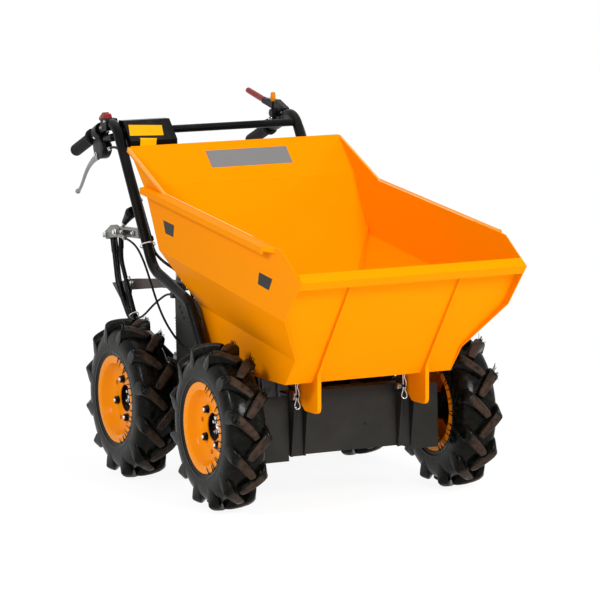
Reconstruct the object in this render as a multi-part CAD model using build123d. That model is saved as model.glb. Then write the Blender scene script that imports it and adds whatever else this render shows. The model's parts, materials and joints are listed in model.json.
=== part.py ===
"""Walk-behind mini dumper: a sheet-steel tipping skip on a four-wheel-drive petrol chassis.

Millimetres, +Z up. The machine drives and tips towards -Y; the operator walks at +Y. The drawing has the
ground at GROUND_Z and each node is written with the ground at Z = 0.
The operator's right hand is at -X. Right and left below are the operator's.
"""
from build123d import *
import os
from math import acos, atan2, cos, hypot, pi, sin, tan

# ---- driving dimensions -------------------------------------------------------------------------------
SIDES = (("right", -1), ("left", 1))          # name of the side, its sign along X
SHEET = 3.0                                   # skip sheet thickness

ORIGIN_Y = 20.6                               # middle of the overall length, which is written at Y = 0
GROUND_Z = -6.0                               # ground under the tyres, which is written at Z = 0

# wheels
WHEEL_X = 323.0                               # wheel centre plane from the machine's middle
AXLE_Y = 284.0                                # half of the wheelbase
AXLE_Z = 205.0
TYRE_R = 211.0                                # out to the tips of the lugs
TYRE_FACETS = 24                              # flat faces round the tyre
LUGS_PER_SIDE = 12
BEAD_R = 101.0                                # where the tyre sits on the rim
RIM_R = 115.5                                 # rim flange
HUB_R = 34.0
AXLE_R = 15.0

# skip: side view as (y, z)
SKIP_TOP_REAR = (295.0, 868.0)
SKIP_BEND_REAR = (198.0, 772.0)
SKIP_FLOOR_REAR = (-40.0, 326.0)
SKIP_FLOOR_FRONT = (-478.0, 326.0)
SKIP_NOSE = (-745.0, 610.0)
SKIP_NOSE_TOP = (-640.0, 678.6)
SKIP_WING_FOOT = (52.0, 761.0)
LIP_FOLD = (-722.0, 625.0)                    # where the front wall turns over into the lip
LIP_EDGE = (-741.5, 609.5)
LIP_END = (-724.0, 592.0)
SKIP_HALF_TOP = 307.0                         # half widths, outside
SKIP_HALF_FLOOR = 231.0
FOLD_SLOPE = 0.14                             # both side folds fall towards the front
LOWER_FOLD_Z = 468.4                          # side folds, at Y = 0
UPPER_FOLD_Z = 597.4
RAIL_SLOPE = 0.119                            # the side walls' top edge falls less
RAIL_Z = 754.8
FLANGE_OUT = 24.0                             # folded edge of the side walls
FLANGE_DOWN = 20.0
FLANGE_FRONT_Y = -575.0
FLANGE_REAR_Y = 175.0
WING_THICK = 2.0                              # wing plate over the side wall, and the hem's width
WING_HEM = 13.0

# tipping hinge
PIVOT_Y = -396.0
PIVOT_Z = 284.0
LUG_X = 150.0
LUG_THICK = 10.0
LUG_EYE_R = 17.0
PIN_R = 8.0
PIN_GAP = 0.5

# chassis
PANEL_Y = -368.0                              # front face of the front panel
PANEL_THICK = 4.0
PANEL_Z = (128.0, 288.0)
POST_X = (132.0, 168.0)                       # the two flanges of each tapered post
CASE_X = (174.0, 247.0)                       # chain cases, inner and outer faces
CASE_Y = 372.0
CASE_Z = (115.0, 226.0)
CASE_END_Z = 280.0                            # top of the end plates of the cases
DECK_Y = (44.0, 368.0)                        # engine deck
DECK_Z = 300.0                                # its top face
DECK_THICK = 4.0

GEARBOX_SHAFT = (130.0, AXLE_Z)               # cross shaft's place in side view
REST_X = 205.0                                # rubber pads under the skip's floor
REST_Y = -150.0
REST_Z = SKIP_FLOOR_FRONT[1] - 0.5

# handles
TUBE_R = 14.0
HANDLE_X = 265.0
HANDLE_END = (777.0, 826.0)
HANDLE_TOP = (490.0, 927.0)
HANDLE_KNEE = (252.0, 547.0)
HANDLE_SHOULDER = (22.0, 484.0)
HANDLE_FOOT = (-88.0, 326.0)
BRACKET_X = (247.0, 251.0)
GRIP_LENGTH = 140.0
GRIP_R = 17.0
BRACKET_HOLES = ((115, 459), (103, 446), (90, 433))
PERCH_OUTLINE = [
    (608, 886), (632, 850), (614, 817), (569, 815), (541, 834), (536, 864), (576, 868), (584, 892),
]
BRAKE_BLADE = [
    (594, 826), (604, 815), (650, 795), (690, 768), (718, 738), (746, 714),
    (756, 719), (728, 746), (699, 776), (655, 805), (610, 828),
]
BRAKE_EXIT = (526.0, 848.0)                   # where the cables leave their levers
CLUTCH_EXIT = (538.0, 911.0)
SWITCH_PLACE = (532.0, 912.0)
CROSS_Y = 470.0
CROSS_Z = 895.0
CROSS_R = 10.5

# engine and drive
FIN_COUNT = 9
FIN_PITCH = 9.5
FIN_THICK = 3.0
STARTER_SLOTS = 12
TANK_Z = 506.0
MUFFLER_X = (-70.0, 66.0)
MUFFLER_Y = 352.0
MUFFLER_Z = (554.0, 636.0)
GUARD_SLOTS = 9
EXHAUST_Z = 536.0                             # joint faces of the exhaust and the intake
INTAKE_Z = 492.0
FILTER_Z = 552.0
BELT_X = (-150.0, -95.0)


# ---- shape helpers ------------------------------------------------------------------------------------
def side_plate(outline, x0, x1):
    """A plate between two X stations, its outline given as (y, z)."""
    face = make_face(Polyline(*[(x0, y, z) for y, z in outline], close=True))
    return extrude(face, x1 - x0, dir=(1, 0, 0))


def box(x0, x1, y0, y1, z0, z1):
    """A box between pairs of stations along X, Y and Z."""
    return Pos((x0 + x1) / 2, (y0 + y1) / 2, (z0 + z1) / 2) * Box(abs(x1 - x0), abs(y1 - y0), abs(z1 - z0))


def rod(start, end, radius):
    """A round bar from one point to another."""
    line = Vector(*end) - Vector(*start)
    return extrude(Plane(origin=start, z_dir=line) * Circle(radius), line.length)


def tube(points, bends, radius, bore=0.0):
    """A bent round tube: straight runs joined by arcs, one bend radius for each inner point."""
    path = FilletPolyline(*points, radius=bends)
    section = Circle(radius) - Circle(bore) if bore else Circle(radius)
    start = Plane(origin=points[0], z_dir=path % 0)
    return sweep(start * section, path=path)


def spun(outline, x_centre, side, y, z):
    """A ring turned about X at (y, z), its outline as (distance outwards, radius)."""
    face = make_face(Polyline(*[(side * (x_centre + a), 0, r) for a, r in outline], close=True))
    return Pos(0, y, z) * revolve(face, Axis.X)


def rounded(solid, corner, radius):
    """A plate with one of its corners rounded, the corner given as (y, z)."""
    edges = solid.edges().filter_by(Axis.X)
    nearest = min(edges, key=lambda edge: hypot(edge.center().Y - corner[0], edge.center().Z - corner[1]))
    return fillet(nearest, radius)


def along(start, end, distance):
    """The point at a distance from start towards end, in side view."""
    length = hypot(end[0] - start[0], end[1] - start[1])
    return tuple(a + (b - a) * distance / length for a, b in zip(start, end))


def parallel(path, distance):
    """The corners of a bent sheet's other face, to the left of the path's direction."""
    turns = [atan2(q[1] - p[1], q[0] - p[0]) for p, q in zip(path, path[1:])]
    turns = [turns[0]] + turns + [turns[-1]]
    corners = []
    for point, before, after in zip(path, turns, turns[1:]):
        half = (after - before + pi) % (2 * pi) - pi
        middle = before + half / 2
        reach = distance / cos(half / 2)
        corners.append((point[0] - reach * sin(middle), point[1] + reach * cos(middle)))
    return corners


# ---- skip ---------------------------------------------------------------------------------------------
def skip_section(inset, lift):
    """The skip's cross-section run along its falling folds: upright, splayed, upright again."""
    low, high = SKIP_HALF_FLOOR - inset, SKIP_HALF_TOP - inset
    half = [(low, -200), (low, LOWER_FOLD_Z + lift), (high, UPPER_FOLD_Z + lift), (high, 1300)]
    outline = half + [(-x, z) for x, z in half[::-1]]
    y0, run = -900.0, 1500.0
    face = make_face(Polyline(*[(x, y0, z + y0 * FOLD_SLOPE) for x, z in outline], close=True))
    return extrude(face, run * hypot(1, FOLD_SLOPE), dir=(0, 1, FOLD_SLOPE))


SKIP_OUTSIDE = skip_section(0.0, 0.0)
SKIP_INSIDE = skip_section(SHEET, 0.8)
SKIP_SPAN = SKIP_HALF_TOP + 40


SKIN = [
    LIP_END, LIP_EDGE, LIP_FOLD, SKIP_FLOOR_FRONT,
    SKIP_FLOOR_REAR, SKIP_BEND_REAR, SKIP_TOP_REAR,
]
SKIN_INNER = parallel(SKIN, SHEET)


def skip_panel(first, last):
    """One panel of the skin between two corners of the side view, mitred to its neighbours."""
    outline = SKIN[first:last + 1] + SKIN_INNER[first:last + 1][::-1]
    return side_plate(outline, -SKIP_SPAN, SKIP_SPAN) & SKIP_INSIDE


def skip_front_wall():
    """The front wall with its lip, which turns over forwards and back under."""
    return skip_panel(0, 3)


def skip_floor():
    """The flat floor, from the foot of the front wall to the foot of the back wall."""
    return skip_panel(3, 4)


def skip_back_wall():
    """The back wall: a steep lower panel and a splayed top."""
    return skip_panel(4, 6)


def skip_side_wall(side):
    """A side wall folded twice along its length, with its wing and its turned-down edge flange."""
    outline = [
        SKIP_FLOOR_FRONT, SKIP_NOSE, SKIP_NOSE_TOP, SKIP_WING_FOOT,
        SKIP_TOP_REAR, SKIP_BEND_REAR, SKIP_FLOOR_REAR,
    ]
    x0, x1 = (0, SKIP_SPAN) if side > 0 else (-SKIP_SPAN, 0)
    wall = side_plate(outline, x0, x1) & (SKIP_OUTSIDE - SKIP_INSIDE)
    t, out, down = SHEET, FLANGE_OUT, FLANGE_DOWN
    half = SKIP_HALF_TOP
    section = [
        (half - t, 0), (half + out, -4), (half + out, -down),
        (half + out - t, -down), (half + out - t, -4 - t), (half, -t), (half - t, -t),
    ]
    y0 = FLANGE_FRONT_Y
    corners = [(side * x, y0, RAIL_Z + y0 * RAIL_SLOPE + z) for x, z in section]
    run = (FLANGE_REAR_Y - FLANGE_FRONT_Y) * hypot(1, RAIL_SLOPE)
    flange = extrude(make_face(Polyline(*corners, close=True)), run, dir=(0, 1, RAIL_SLOPE))
    return wall + flange + skip_wing(side)


def skip_wing(side):
    """The wing: a three-cornered plate over the outside of the wall, with a hem along its top edge."""
    foot, top, bend = SKIP_WING_FOOT, SKIP_TOP_REAR, SKIP_BEND_REAR
    hem = parallel([top, foot], WING_HEM)
    x_wall = side * SKIP_HALF_TOP
    plate = side_plate([foot, top, bend, (foot[0] + 34, foot[1] - 3)], x_wall, x_wall + side * WING_THICK)
    return plate + side_plate([foot, top, hem[0], hem[1]], x_wall, x_wall + side * (WING_THICK + SHEET))


def skip_lug(side):
    """A rib down the front wall that runs on below the floor as the hinge lug."""
    eye = (PIVOT_Y, PIVOT_Z)
    top = along(LIP_FOLD, SKIP_FLOOR_FRONT, 42)
    outline = [
        top, (top[0] - 6, top[1] - 2), (-507, 348), (-503, 249), (-430, 249), (-410, 262),
        (PIVOT_Y + LUG_EYE_R, PIVOT_Z), (PIVOT_Y + 20, SKIP_FLOOR_FRONT[1]), SKIP_FLOOR_FRONT,
    ]
    x0 = side * LUG_X - LUG_THICK / 2
    plate = side_plate(outline, x0, x0 + LUG_THICK)
    plate = rounded(plate, (-503, 249), 17)
    plate = rounded(plate, (-430, 249), 17)
    boss = rod((x0, *eye), (x0 + LUG_THICK, *eye), LUG_EYE_R)
    bore = rod((x0 - 5, *eye), (x0 + LUG_THICK + 5, *eye), PIN_R + PIN_GAP)
    return plate + boss - bore


# ---- wheels -------------------------------------------------------------------------------------------
# tyre section as (distance outwards, radius): bead, wall, shoulder, tread, and back
TYRE_SECTION = [
    (-45.5, 102.1), (-45.5, 119), (-53, 147), (-41, 185), (41, 185), (53, 147), (45.5, 119), (45.5, 102.1),
]
# lug stations from the tread's middle out over the shoulder:
# (outer edge's distance outwards, radius), (buried edge's distance, radius), degrees round, half width
LUG_TIP_HALF = 9.5
LUG_STATIONS = [
    ((-7, TYRE_R / cos(LUG_TIP_HALF / TYRE_R)), (-7, 179), 0.0, LUG_TIP_HALF),
    ((47, 204), (37, 169), 15.0, 12.0),
    ((53, 166), (45, 160), 17.0, 13.0),
]
# rim section as (distance outwards, radius): flange, bead seats and well outside, then the bowl inside
RIM_SECTION = [
    (49, RIM_R), (46, RIM_R), (46, BEAD_R), (14, BEAD_R), (14, 93), (-14, 93), (-14, BEAD_R), (-46, BEAD_R),
    (-46, RIM_R), (-49, RIM_R), (-49, 98), (-17, 98), (-17, 90), (15, 90), (15, 36), (18, 36),
]
RIM_BOWL = ((18, 66), (22.5, 79), (34, 89), (46, 96), (49, 103))   # flat disc, curve, wall, curve, flange


def facet(*points):
    """One flat face through its corners."""
    return make_face(Polyline(*points, close=True))


def faceted_ring(section, count):
    """A ring of flat faces about X, its section as (distance along X, radius)."""
    faces = []
    for i in range(count):
        a0, a1 = (2 * pi * (i + k) / count for k in (0, 1))
        for (xa, ra), (xb, rb) in zip(section, section[1:] + section[:1]):
            faces.append(facet(
                (xa, ra * cos(a0), ra * sin(a0)), (xb, rb * cos(a0), rb * sin(a0)),
                (xb, rb * cos(a1), rb * sin(a1)), (xa, ra * cos(a1), ra * sin(a1)),
            ))
    return Solid(Shell(faces))


def tyre_lug(lead, side):
    """One tread lug as a flat-faced bar over its stations, leading at an angle round the tyre."""
    rings = []
    for outer, buried, lag, half in LUG_STATIONS:
        angle = lead - lag * pi / 180
        ring = []
        for (x, r), sign in ((outer, -1), (outer, 1), (buried, 1), (buried, -1)):
            turn = angle + sign * half / r
            ring.append((side * x, r * cos(turn), r * sin(turn)))
        rings.append(ring)
    faces = [facet(*rings[0]), facet(*rings[-1])]
    for a, b in zip(rings, rings[1:]):
        for i in range(4):
            j = (i + 1) % 4
            faces += [facet(a[i], a[j], b[j]), facet(a[i], b[j], b[i])]
    return Solid(Shell(faces))


def tyre_blank():
    """A tyre about X at the origin: its casing with chevron lugs, left and right half a pitch apart."""
    casing = faceted_ring(TYRE_SECTION, TYRE_FACETS)
    pitch = 2 * pi / LUGS_PER_SIDE
    lugs = [
        tyre_lug(pitch * (i + (0.5 if side > 0 else 0)), side)
        for side in (-1, 1) for i in range(LUGS_PER_SIDE)
    ]
    return casing.fuse(*lugs)


TYRE = tyre_blank()


def tyre(side, y):
    """A tyre in its place. Its chevrons point forwards on top."""
    return Pos(side * WHEEL_X, y, AXLE_Z) * TYRE


def rim(side, y):
    """A steel rim: flanges, bead seats and a well, with a bowl pressed in on its outer side."""
    (x1, r1), (x2, r2), (x3, r3), (x4, r4), (x5, r5) = RIM_BOWL

    def place(a, r):
        return side * (WHEEL_X + a), 0, r

    edges = Polyline(place(x5, r5), *[place(a, r) for a, r in RIM_SECTION], place(x1, r1))
    edges += ThreePointArc(place(x1, r1), place(x2, r2), place(x3, r3))
    edges += Line(place(x3, r3), place(x4, r4))
    edges += Line(place(x4, r4), place(x5, r5))
    return Pos(0, y, AXLE_Z) * revolve(make_face(edges), Axis.X)


def hub(side, y):
    """The hub that carries the rim's disc and turns on the stub axle, with its recessed cap."""
    outline = [
        (2, 0), (2, 24), (5, 26), (5, HUB_R), (14.5, HUB_R), (14.5, 62), (7, 62), (0, 40),
        (-56, 28), (-56, AXLE_R + PIN_GAP), (-8, AXLE_R + PIN_GAP), (-8, 0),
    ]
    return spun(outline, WHEEL_X, side, y, AXLE_Z)


def stub_axle(side, y):
    """A stub axle out of the chain case, with its bearing flange."""
    x_case = CASE_X[1]
    flange = rod((side * x_case, y, AXLE_Z), (side * (x_case + 8), y, AXLE_Z), 36)
    shaft = rod((side * x_case, y, AXLE_Z), (side * (WHEEL_X - 10), y, AXLE_Z), AXLE_R)
    return flange + shaft


# ---- chassis ------------------------------------------------------------------------------------------
def front_panel():
    """The folded sheet across the front, with its two holes and its top and bottom flanges."""
    half = CASE_X[0]
    y0, y1 = PANEL_Y, PANEL_Y + PANEL_THICK
    z0, z1 = PANEL_Z
    sheet = box(-half, half, y0, y1, z0, z1)
    sheet += box(-half, half, y0, y0 + 45, z1 - PANEL_THICK, z1)
    sheet += box(-half, half, y0, y0 + 25, z0, z0 + PANEL_THICK)
    for x in (-42, 42):
        sheet -= rod((x, y0 - 1, 192), (x, y1 + 1, 192), 4)
    return sheet


def front_post(side):
    """A post open to the front: two tapered flanges on a web, bored for the hinge pin."""
    z0, z1 = PANEL_Z[0] - 2, PANEL_Z[1] + 18
    y_back = PANEL_Y
    depth, web = 40, 4
    outline = [
        (y_back, z0), (y_back - 9, z0), (y_back - depth, z1 - 20),
        (y_back - depth, z1 - 8), (y_back - 32, z1), (y_back, z1),
    ]
    x_in, x_out = sorted((side * POST_X[0], side * POST_X[1]))
    post = box(x_in, x_out, y_back - web, y_back, z0, z1 - 30)
    for x in (x_in, x_out):
        post += side_plate(outline, x - 2, x + 2)
    return post - rod((x_in - 5, PIVOT_Y, PIVOT_Z), (x_out + 5, PIVOT_Y, PIVOT_Z), PIN_R)


def hinge_pin(side):
    """The hinge pin through a post and the skip's lug, with its head and the clip's groove."""
    x_head, x_end = side * (POST_X[1] + 2), side * (POST_X[0] - 14)
    pin = rod((x_head, PIVOT_Y, PIVOT_Z), (x_end, PIVOT_Y, PIVOT_Z), PIN_R)
    head = rod((x_head, PIVOT_Y, PIVOT_Z), (x_head + side * 5, PIVOT_Y, PIVOT_Z), PIN_R + 5)
    x_clip = side * (POST_X[0] - 8)
    hole = rod((x_clip, PIVOT_Y - 12, PIVOT_Z), (x_clip, PIVOT_Y + 12, PIVOT_Z), 2)
    return pin + head - hole


def chain_case(side):
    """A closed chain case that drives the two wheels of one side, with its taller end plates and lid."""
    x0, x1 = sorted((side * CASE_X[0], side * CASE_X[1]))
    z0, z1 = CASE_Z
    case = box(x0, x1, -CASE_Y, CASE_Y, z0, z1 - 3)
    case += box(x0, x1, -CASE_Y + 1, CASE_Y - 1, z1 - 3, z1)
    for end in (-1, 1):
        case += box(x0, x1, end * (CASE_Y - 4), end * CASE_Y, z0, CASE_END_Z)
        web = [(end * (CASE_Y - 4), z1), (end * (CASE_Y - 44), z1), (end * (CASE_Y - 4), CASE_END_Z - 4)]
        case += side_plate(web, x0, x0 + 4) + side_plate(web, x1 - 4, x1)
    return case


def engine_deck():
    """The folded plate the engine stands on, with feet on both chain cases and a grommet for the hose."""
    x, t = CASE_X[0], DECK_THICK
    y0, y1 = DECK_Y
    deck = box(-x - 30, x + 30, y0, y1, DECK_Z - t, DECK_Z)
    for side in (-1, 1):
        deck += box(side * (x + 26), side * (x + 30), y0, y1, CASE_Z[1], DECK_Z)
    for y in (y0, y1 - t):
        deck += box(-x - 26, x + 26, y, y + t, DECK_Z - 24, DECK_Z)
    slot = box(-152, -88, 96, 300, DECK_Z - 30, DECK_Z + 1)
    grommet = rod((-186, 192, DECK_Z), (-186, 192, CABLES["cable_hose"][1][-1][2]), 8)
    return deck - slot + grommet


def gearbox():
    """The cast gearbox below the deck, with its flange, ribs and the cross shaft to both chain cases."""
    y, z = GEARBOX_SHAFT
    top = DECK_Z - DECK_THICK
    body = extrude(Pos(0, 135, 150) * RectangleRounded(130, 150, 18), top - 158, taper=2)
    body += box(-78, 78, 66, 204, top - 8, top)
    body += extrude(Pos(0, 135, 196) * RectangleRounded(146, 166, 20), 10)
    for x in (-46, 0, 46):
        body += box(x - 3, x + 3, 55, 215, 160, top - 8)
    for side in (-1, 1):
        body += rod((side * 60, y, z), (side * 92, y, z), 34)
    return body + rod((-CASE_X[0], y, z), (CASE_X[0], y, z), 14)


def rear_panel():
    """The sheet across the rear of the chassis, with its bottom flange."""
    half = CASE_X[0]
    y0, y1 = CASE_Y - 4, CASE_Y
    sheet = box(-half, half, y0, y1, *PANEL_Z)
    return sheet + box(-half, half, y1 - 24, y1, PANEL_Z[0], PANEL_Z[0] + 4)


def rest_pads():
    """Two rubber pads on the chain cases that the skip's floor rests on."""
    pads = []
    for x in (-REST_X, REST_X):
        foot = rod((x, REST_Y, CASE_Z[1]), (x, REST_Y, REST_Z - 22), 11)
        pads.append(foot + rod((x, REST_Y, REST_Z - 22), (x, REST_Y, REST_Z), 18))
    return pads[0] + pads[1]


# ---- handles ------------------------------------------------------------------------------------------
def handle_tube(side):
    """A bent handle tube from the chassis to the grip."""
    x = side * HANDLE_X
    stations = (HANDLE_FOOT, HANDLE_SHOULDER, HANDLE_KNEE, HANDLE_TOP, HANDLE_END)
    return tube([(x, *place) for place in stations], [60, 85, 60], TUBE_R)


def handle_bracket(side):
    """The upright plate that joins a handle tube to the chain case, with a row of holes and a folded edge.

    The right one also carries the two clips that the gear cable and the link cable end in.
    """
    outline = [
        (-108, 180), (-108, 300), (-90, 326), (14, 470), (52, 484),
        (84, 499), (142, 515), (146, 500), (146, 180),
    ]
    x0, x1 = sorted((side * BRACKET_X[0], side * BRACKET_X[1]))
    plate = side_plate(outline, x0, x1)
    for y, z in BRACKET_HOLES:
        plate -= rod((x0 - 1, y, z), (x1 + 1, y, z), 4.5)
    x_fold, x_face = side * BRACKET_X[0], side * BRACKET_X[1]
    plate += box(x_fold, x_fold - side * 22, 142, 146, CASE_Z[1], 440)
    if side < 0:
        plate += box(x_face, x_face - 12, 22, 38, 345, 361)
        plate += box(x_face, x_face - 14, 130, 146, 481, 496)
    return plate


def handle_crossbar():
    """The bar between the two handle tubes."""
    reach = HANDLE_X - TUBE_R
    return rod((-reach, CROSS_Y, CROSS_Z), (reach, CROSS_Y, CROSS_Z), CROSS_R) - both(handle_tube)


def grip(side):
    """A rubber grip over the end of a handle tube, with a collar at its inner end and ribs for the hand."""
    x = side * HANDLE_X
    stations = [(-4, GRIP_R - 3), (0, GRIP_R), (GRIP_LENGTH - 8, GRIP_R), (GRIP_LENGTH - 8, GRIP_R + 6),
                (GRIP_LENGTH, GRIP_R + 6), (GRIP_LENGTH, TUBE_R), (0, TUBE_R), (0, 0), (-4, 0)]
    outline = make_face(Polyline(*[(r, 0, -t) for t, r in stations], close=True))
    sleeve = revolve(outline, Axis.Z)
    slope = atan2(HANDLE_END[1] - HANDLE_TOP[1], HANDLE_END[0] - HANDLE_TOP[0])
    return Pos(x, *HANDLE_END) * Rot(-90 + slope * 180 / pi, 0, 0) * sleeve


def handle_ring(side, distance, length, radius):
    """A clamp ring round a handle tube, its middle at a distance from the tube's end."""
    x = side * HANDLE_X
    start = (x, *along(HANDLE_END, HANDLE_TOP, distance - length / 2))
    end = (x, *along(HANDLE_END, HANDLE_TOP, distance + length / 2))
    return rod(start, end, radius) - rod(start, end, TUBE_R)


def brake_lever():
    """The alloy lever below the right grip, with its perch, pivot and cable adjuster."""
    x = -HANDLE_X
    perch = side_plate(PERCH_OUTLINE, x - 11, x + 11)
    perch += rod((x, 548, 872), (x, 498, 880), 11)
    perch += rod((x, 545, 843), (x, BRAKE_EXIT[0], BRAKE_EXIT[1]), 5)
    perch += rod((x - 15, 604, 826), (x + 15, 604, 826), 6)
    perch -= rod((x, *HANDLE_END), (x, *HANDLE_TOP), TUBE_R)
    perch += handle_ring(-1, 192, 30, TUBE_R + 7)
    blade = side_plate(BRAKE_BLADE, x - 12, x - 3)
    tip = rod((x - 14, 753, 715), (x - 1, 753, 715), 8)
    return perch + blade + tip


def clutch_lever():
    """The long lever with a sleeve that stands over the left grip, with its perch and pivot."""
    x = HANDLE_X
    outline = [(530, 916), (534, 930), (590, 950), (680, 951), (680, 937), (625, 926), (560, 902)]
    arm = side_plate(outline, x - 8, x + 8)
    arm += rod((x, 679, 944), (x, 786, 966), 8)
    perch = side_plate([(552, 898), (548, 922), (600, 927), (604, 884)], x - 15, x + 15)
    perch += rod((x - 16, 556, 912), (x + 18, 556, 912), 7)
    perch += rod((x - 16, 596, 912), (x + 18, 596, 912), 6)
    perch += rod((x + 17, 575, 913), (x + 18, *CLUTCH_EXIT), 5)
    ring = handle_ring(1, 192, 34, TUBE_R + 6)
    return (arm + perch) - handle_tube(1) + ring


def throttle_lever():
    """The small throttle lever on the inner side of the clutch lever's perch."""
    x = HANDLE_X - 15
    y, z = 576, 915
    body = rod((x, y, z), (x - 15, y, z), 11) - clutch_lever()
    stalk = rod((x - 8, y, z + 8), (x - 8, y - 3, z + 40), 3)
    knob = rod((x - 8, y - 2, z + 36), (x - 8, y - 6, z + 56), 6)
    return body + stalk + knob


def ignition_switch():
    """The stop switch round the bend of the right handle tube: its housing and a rocker knob."""
    x = -HANDLE_X
    y, z = SWITCH_PLACE
    housing = box(x - 17, x + 17, y - 20, y + 20, z - 16, z + 17)
    housing = fillet(housing.edges().filter_by(Axis.X), 8)
    rocker = [(y - 4, z + 10), (y + 2, z + 21), (y + 46, z + 19), (y + 50, z + 10), (y + 20, z + 6)]
    knob = side_plate(rocker, x - 9, x + 9)
    return (housing + knob) - handle_tube(-1) - brake_lever()


def control_box():
    """The folded box round the crossbar with a sloping face for the blank plates."""
    outline = [(506, 924), (477, 924), (425, 872), (425, 842), (506, 842)]
    shape = side_plate(outline, -248, -112)
    inside = side_plate([(507, 920), (479, 920), (429, 870), (429, 846), (507, 846)], -245, -115)
    return shape - inside - rod((-300, CROSS_Y, CROSS_Z), (0, CROSS_Y, CROSS_Z), CROSS_R) - handle_tube(-1)


# ---- gear controls ------------------------------------------------------------------------------------
def gear_arm():
    """The upper arm of the gear linkage: a channel off the right handle tube with a cast head."""
    x0, x1 = -277, -253
    bar = side_plate([(318, 622), (326, 646), (462, 641), (462, 617)], x0, x1)
    bar -= side_plate([(340, 627), (340, 640), (456, 636), (456, 622)], x0 - 1, x1 - 4)
    head = side_plate([(448, 640), (515, 637), (546, 622), (543, 606), (495, 610), (448, 616)], -281, -249)
    head -= side_plate([(480, 600), (480, 650), (530, 650), (530, 600)], -271, -259)
    for y, z in ((462, 628), (536, 614)):
        head += rod((-285, y, z), (-245, y, z), 7)
    bar += rod((-284, 432, 621), (-285, 390, 617), 5)
    return bar + head - handle_tube(-1)


def gear_lever():
    """The gear lever with its tapered knob."""
    stick = rod((-265, 474, 626), (-265, 432, 662), 5)
    start, end = Vector(-265, 441, 655), Vector(-265, 383, 692)
    line = end - start
    profile = [(0, 0), (8, 0), (12, 28), (16, 54), (12, 67), (0, 69)]
    knob = revolve(make_face(Polyline(*[(r, 0, t) for r, t in profile], close=True)), Axis.Z)
    lean = atan2(line.Y, line.Z) * 180 / pi
    return stick + Pos(*start) * Rot(-lean, 0, 0) * knob - gear_arm()


def lower_arm():
    """The lower arm of the gear linkage: a channel off the handle bracket, with its end gusset."""
    x = -BRACKET_X[0]
    web = [
        (86, 505), (86, 523), (240, 520), (457, 499), (526, 486), (586, 476),
        (469, 396), (452, 470), (240, 497),
    ]
    arm = side_plate(web, x, x + 3)
    top = [(86, 520), (86, 523), (240, 520), (457, 499), (526, 486), (526, 483), (457, 496), (240, 517)]
    arm += side_plate(top, x, x + 20)
    foot = [(86, 505), (86, 508), (240, 500), (452, 473), (452, 470), (240, 497)]
    return arm + side_plate(foot, x, x + 20)


def gear_rod():
    """The two sheathed rods from the gear head down to the deck."""
    z_end = DECK_Z - 8
    thick = tube([(-261, 530, 606), (-261, 504, 480), (-258, 436, 398), (-190, 330, z_end)], [120, 80], 9)
    thin_path = [(-263, 474, 606), (-263, 477, 550), (-263, 430, 470), (-256, 404, 400), (-186, 300, z_end)]
    thin = tube(thin_path, [60, 60, 60], 6)
    thin += box(-268, -256, 392, 402, 397, 411)
    floor = box(-260, -100, 200, 460, DECK_Z - 40, DECK_Z)
    return (thick - floor) + (thin - thick - floor - gear_arm())


def skip_latch():
    """The latch lever behind the skip, on a foot on the deck."""
    rod_points = [(-190, 262, DECK_Z), (-190, 262, 560), (-212, 345, 704)]
    lever = tube(rod_points, [90], 7)
    foot = box(-204, -176, 250, 276, DECK_Z, DECK_Z + 12)
    handle = side_plate([(404, 768), (376, 764), (332, 704), (352, 694), (386, 724)], -216, -208)
    return lever + foot + handle - box(-260, -100, 200, 460, DECK_Z - 40, DECK_Z)


# ---- cables -------------------------------------------------------------------------------------------
# each cable: its diameter and the points of its route, from its ferrule to its clip
CABLES = {
    "cable_brake": (7.0, [
        (-265, 525.8, 848.1), (-265, 503, 854), (-263, 471, 849), (-250.4, 448.2, 835), (-250, 431.9, 809.8),
    ]),
    "cable_clutch": (7.0, [
        (283, 537.8, 911), (283.6, 516, 909.8), (284.6, 490, 896), (284, 466, 871), (283, 447.4, 842.1),
        (283, 428.4, 811.8),
    ]),
    "cable_gear": (6.0, [
        (-285, 390, 617), (-286, 348, 613), (-287, 300, 597), (-288, 256, 563), (-287, 220, 515),
        (-285, 186, 465), (-280, 147, 418), (-270, 104, 379), (-259, 68, 354), (-257, 38.3, 353),
    ]),
    "cable_link": (6.0, [
        (-262, 391.6, 404), (-262, 366, 403), (-262, 325, 418), (-262, 266, 450), (-261, 205, 477),
        (-259, 172, 488.8), (-258, 146.3, 488.5),
    ]),
    "cable_hose": (8.0, [
        (-247, 305, 614.6), (-247, 290.3, 591.2), (-246, 262, 577), (-242, 225, 563), (-230, 180, 548),
        (-214, 140, 520), (-204, 134, 472), (-192, 160, 392), (-186, 192, 340), (-186, 192, 311),
    ]),
}


def cable(name):
    """A cable as a bent round tube. Each bend takes as large an arc as its runs leave room for."""
    diameter, points = CABLES[name]
    spots = [Vector(*point) for point in points]
    radii = []
    for before, corner, after in zip(spots, spots[1:], spots[2:]):
        first, second = corner - before, after - corner
        half_turn = first.get_angle(second) / 2 * pi / 180
        radii.append(0.45 * min(first.length, second.length) / tan(half_turn))
    print(name, "bend radii", [round(radius) for radius in radii])
    return tube(points, radii, diameter / 2)


def sheath_bundles():
    """The sheathed cables strapped along the two handle tubes, each with its ties."""
    high, low = (428.2, 811.4), (305.2, 614.9)
    right = rod((-250, 431.7, 809.5), (-247, *low), 5.5) - handle_tube(-1)
    left = tube([(283, *high), (283, 258, 540), (283, 160, 513)], [85], 5.5)
    right += rod((-247, 311.6, 625.1), (-247, 306.2, 616.6), 8.5) - handle_tube(-1)
    left += rod((283, 311.6, 625.1), (283, 306.2, 616.6), 8.5) - handle_tube(1)
    return right + left


# ---- engine -------------------------------------------------------------------------------------------
CRANK_Y = 222.0                               # crankshaft, along X
CRANK_Z = DECK_Z + 106
CYLINDER_LEAN = 25.0                          # degrees above the level, towards the operator


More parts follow.
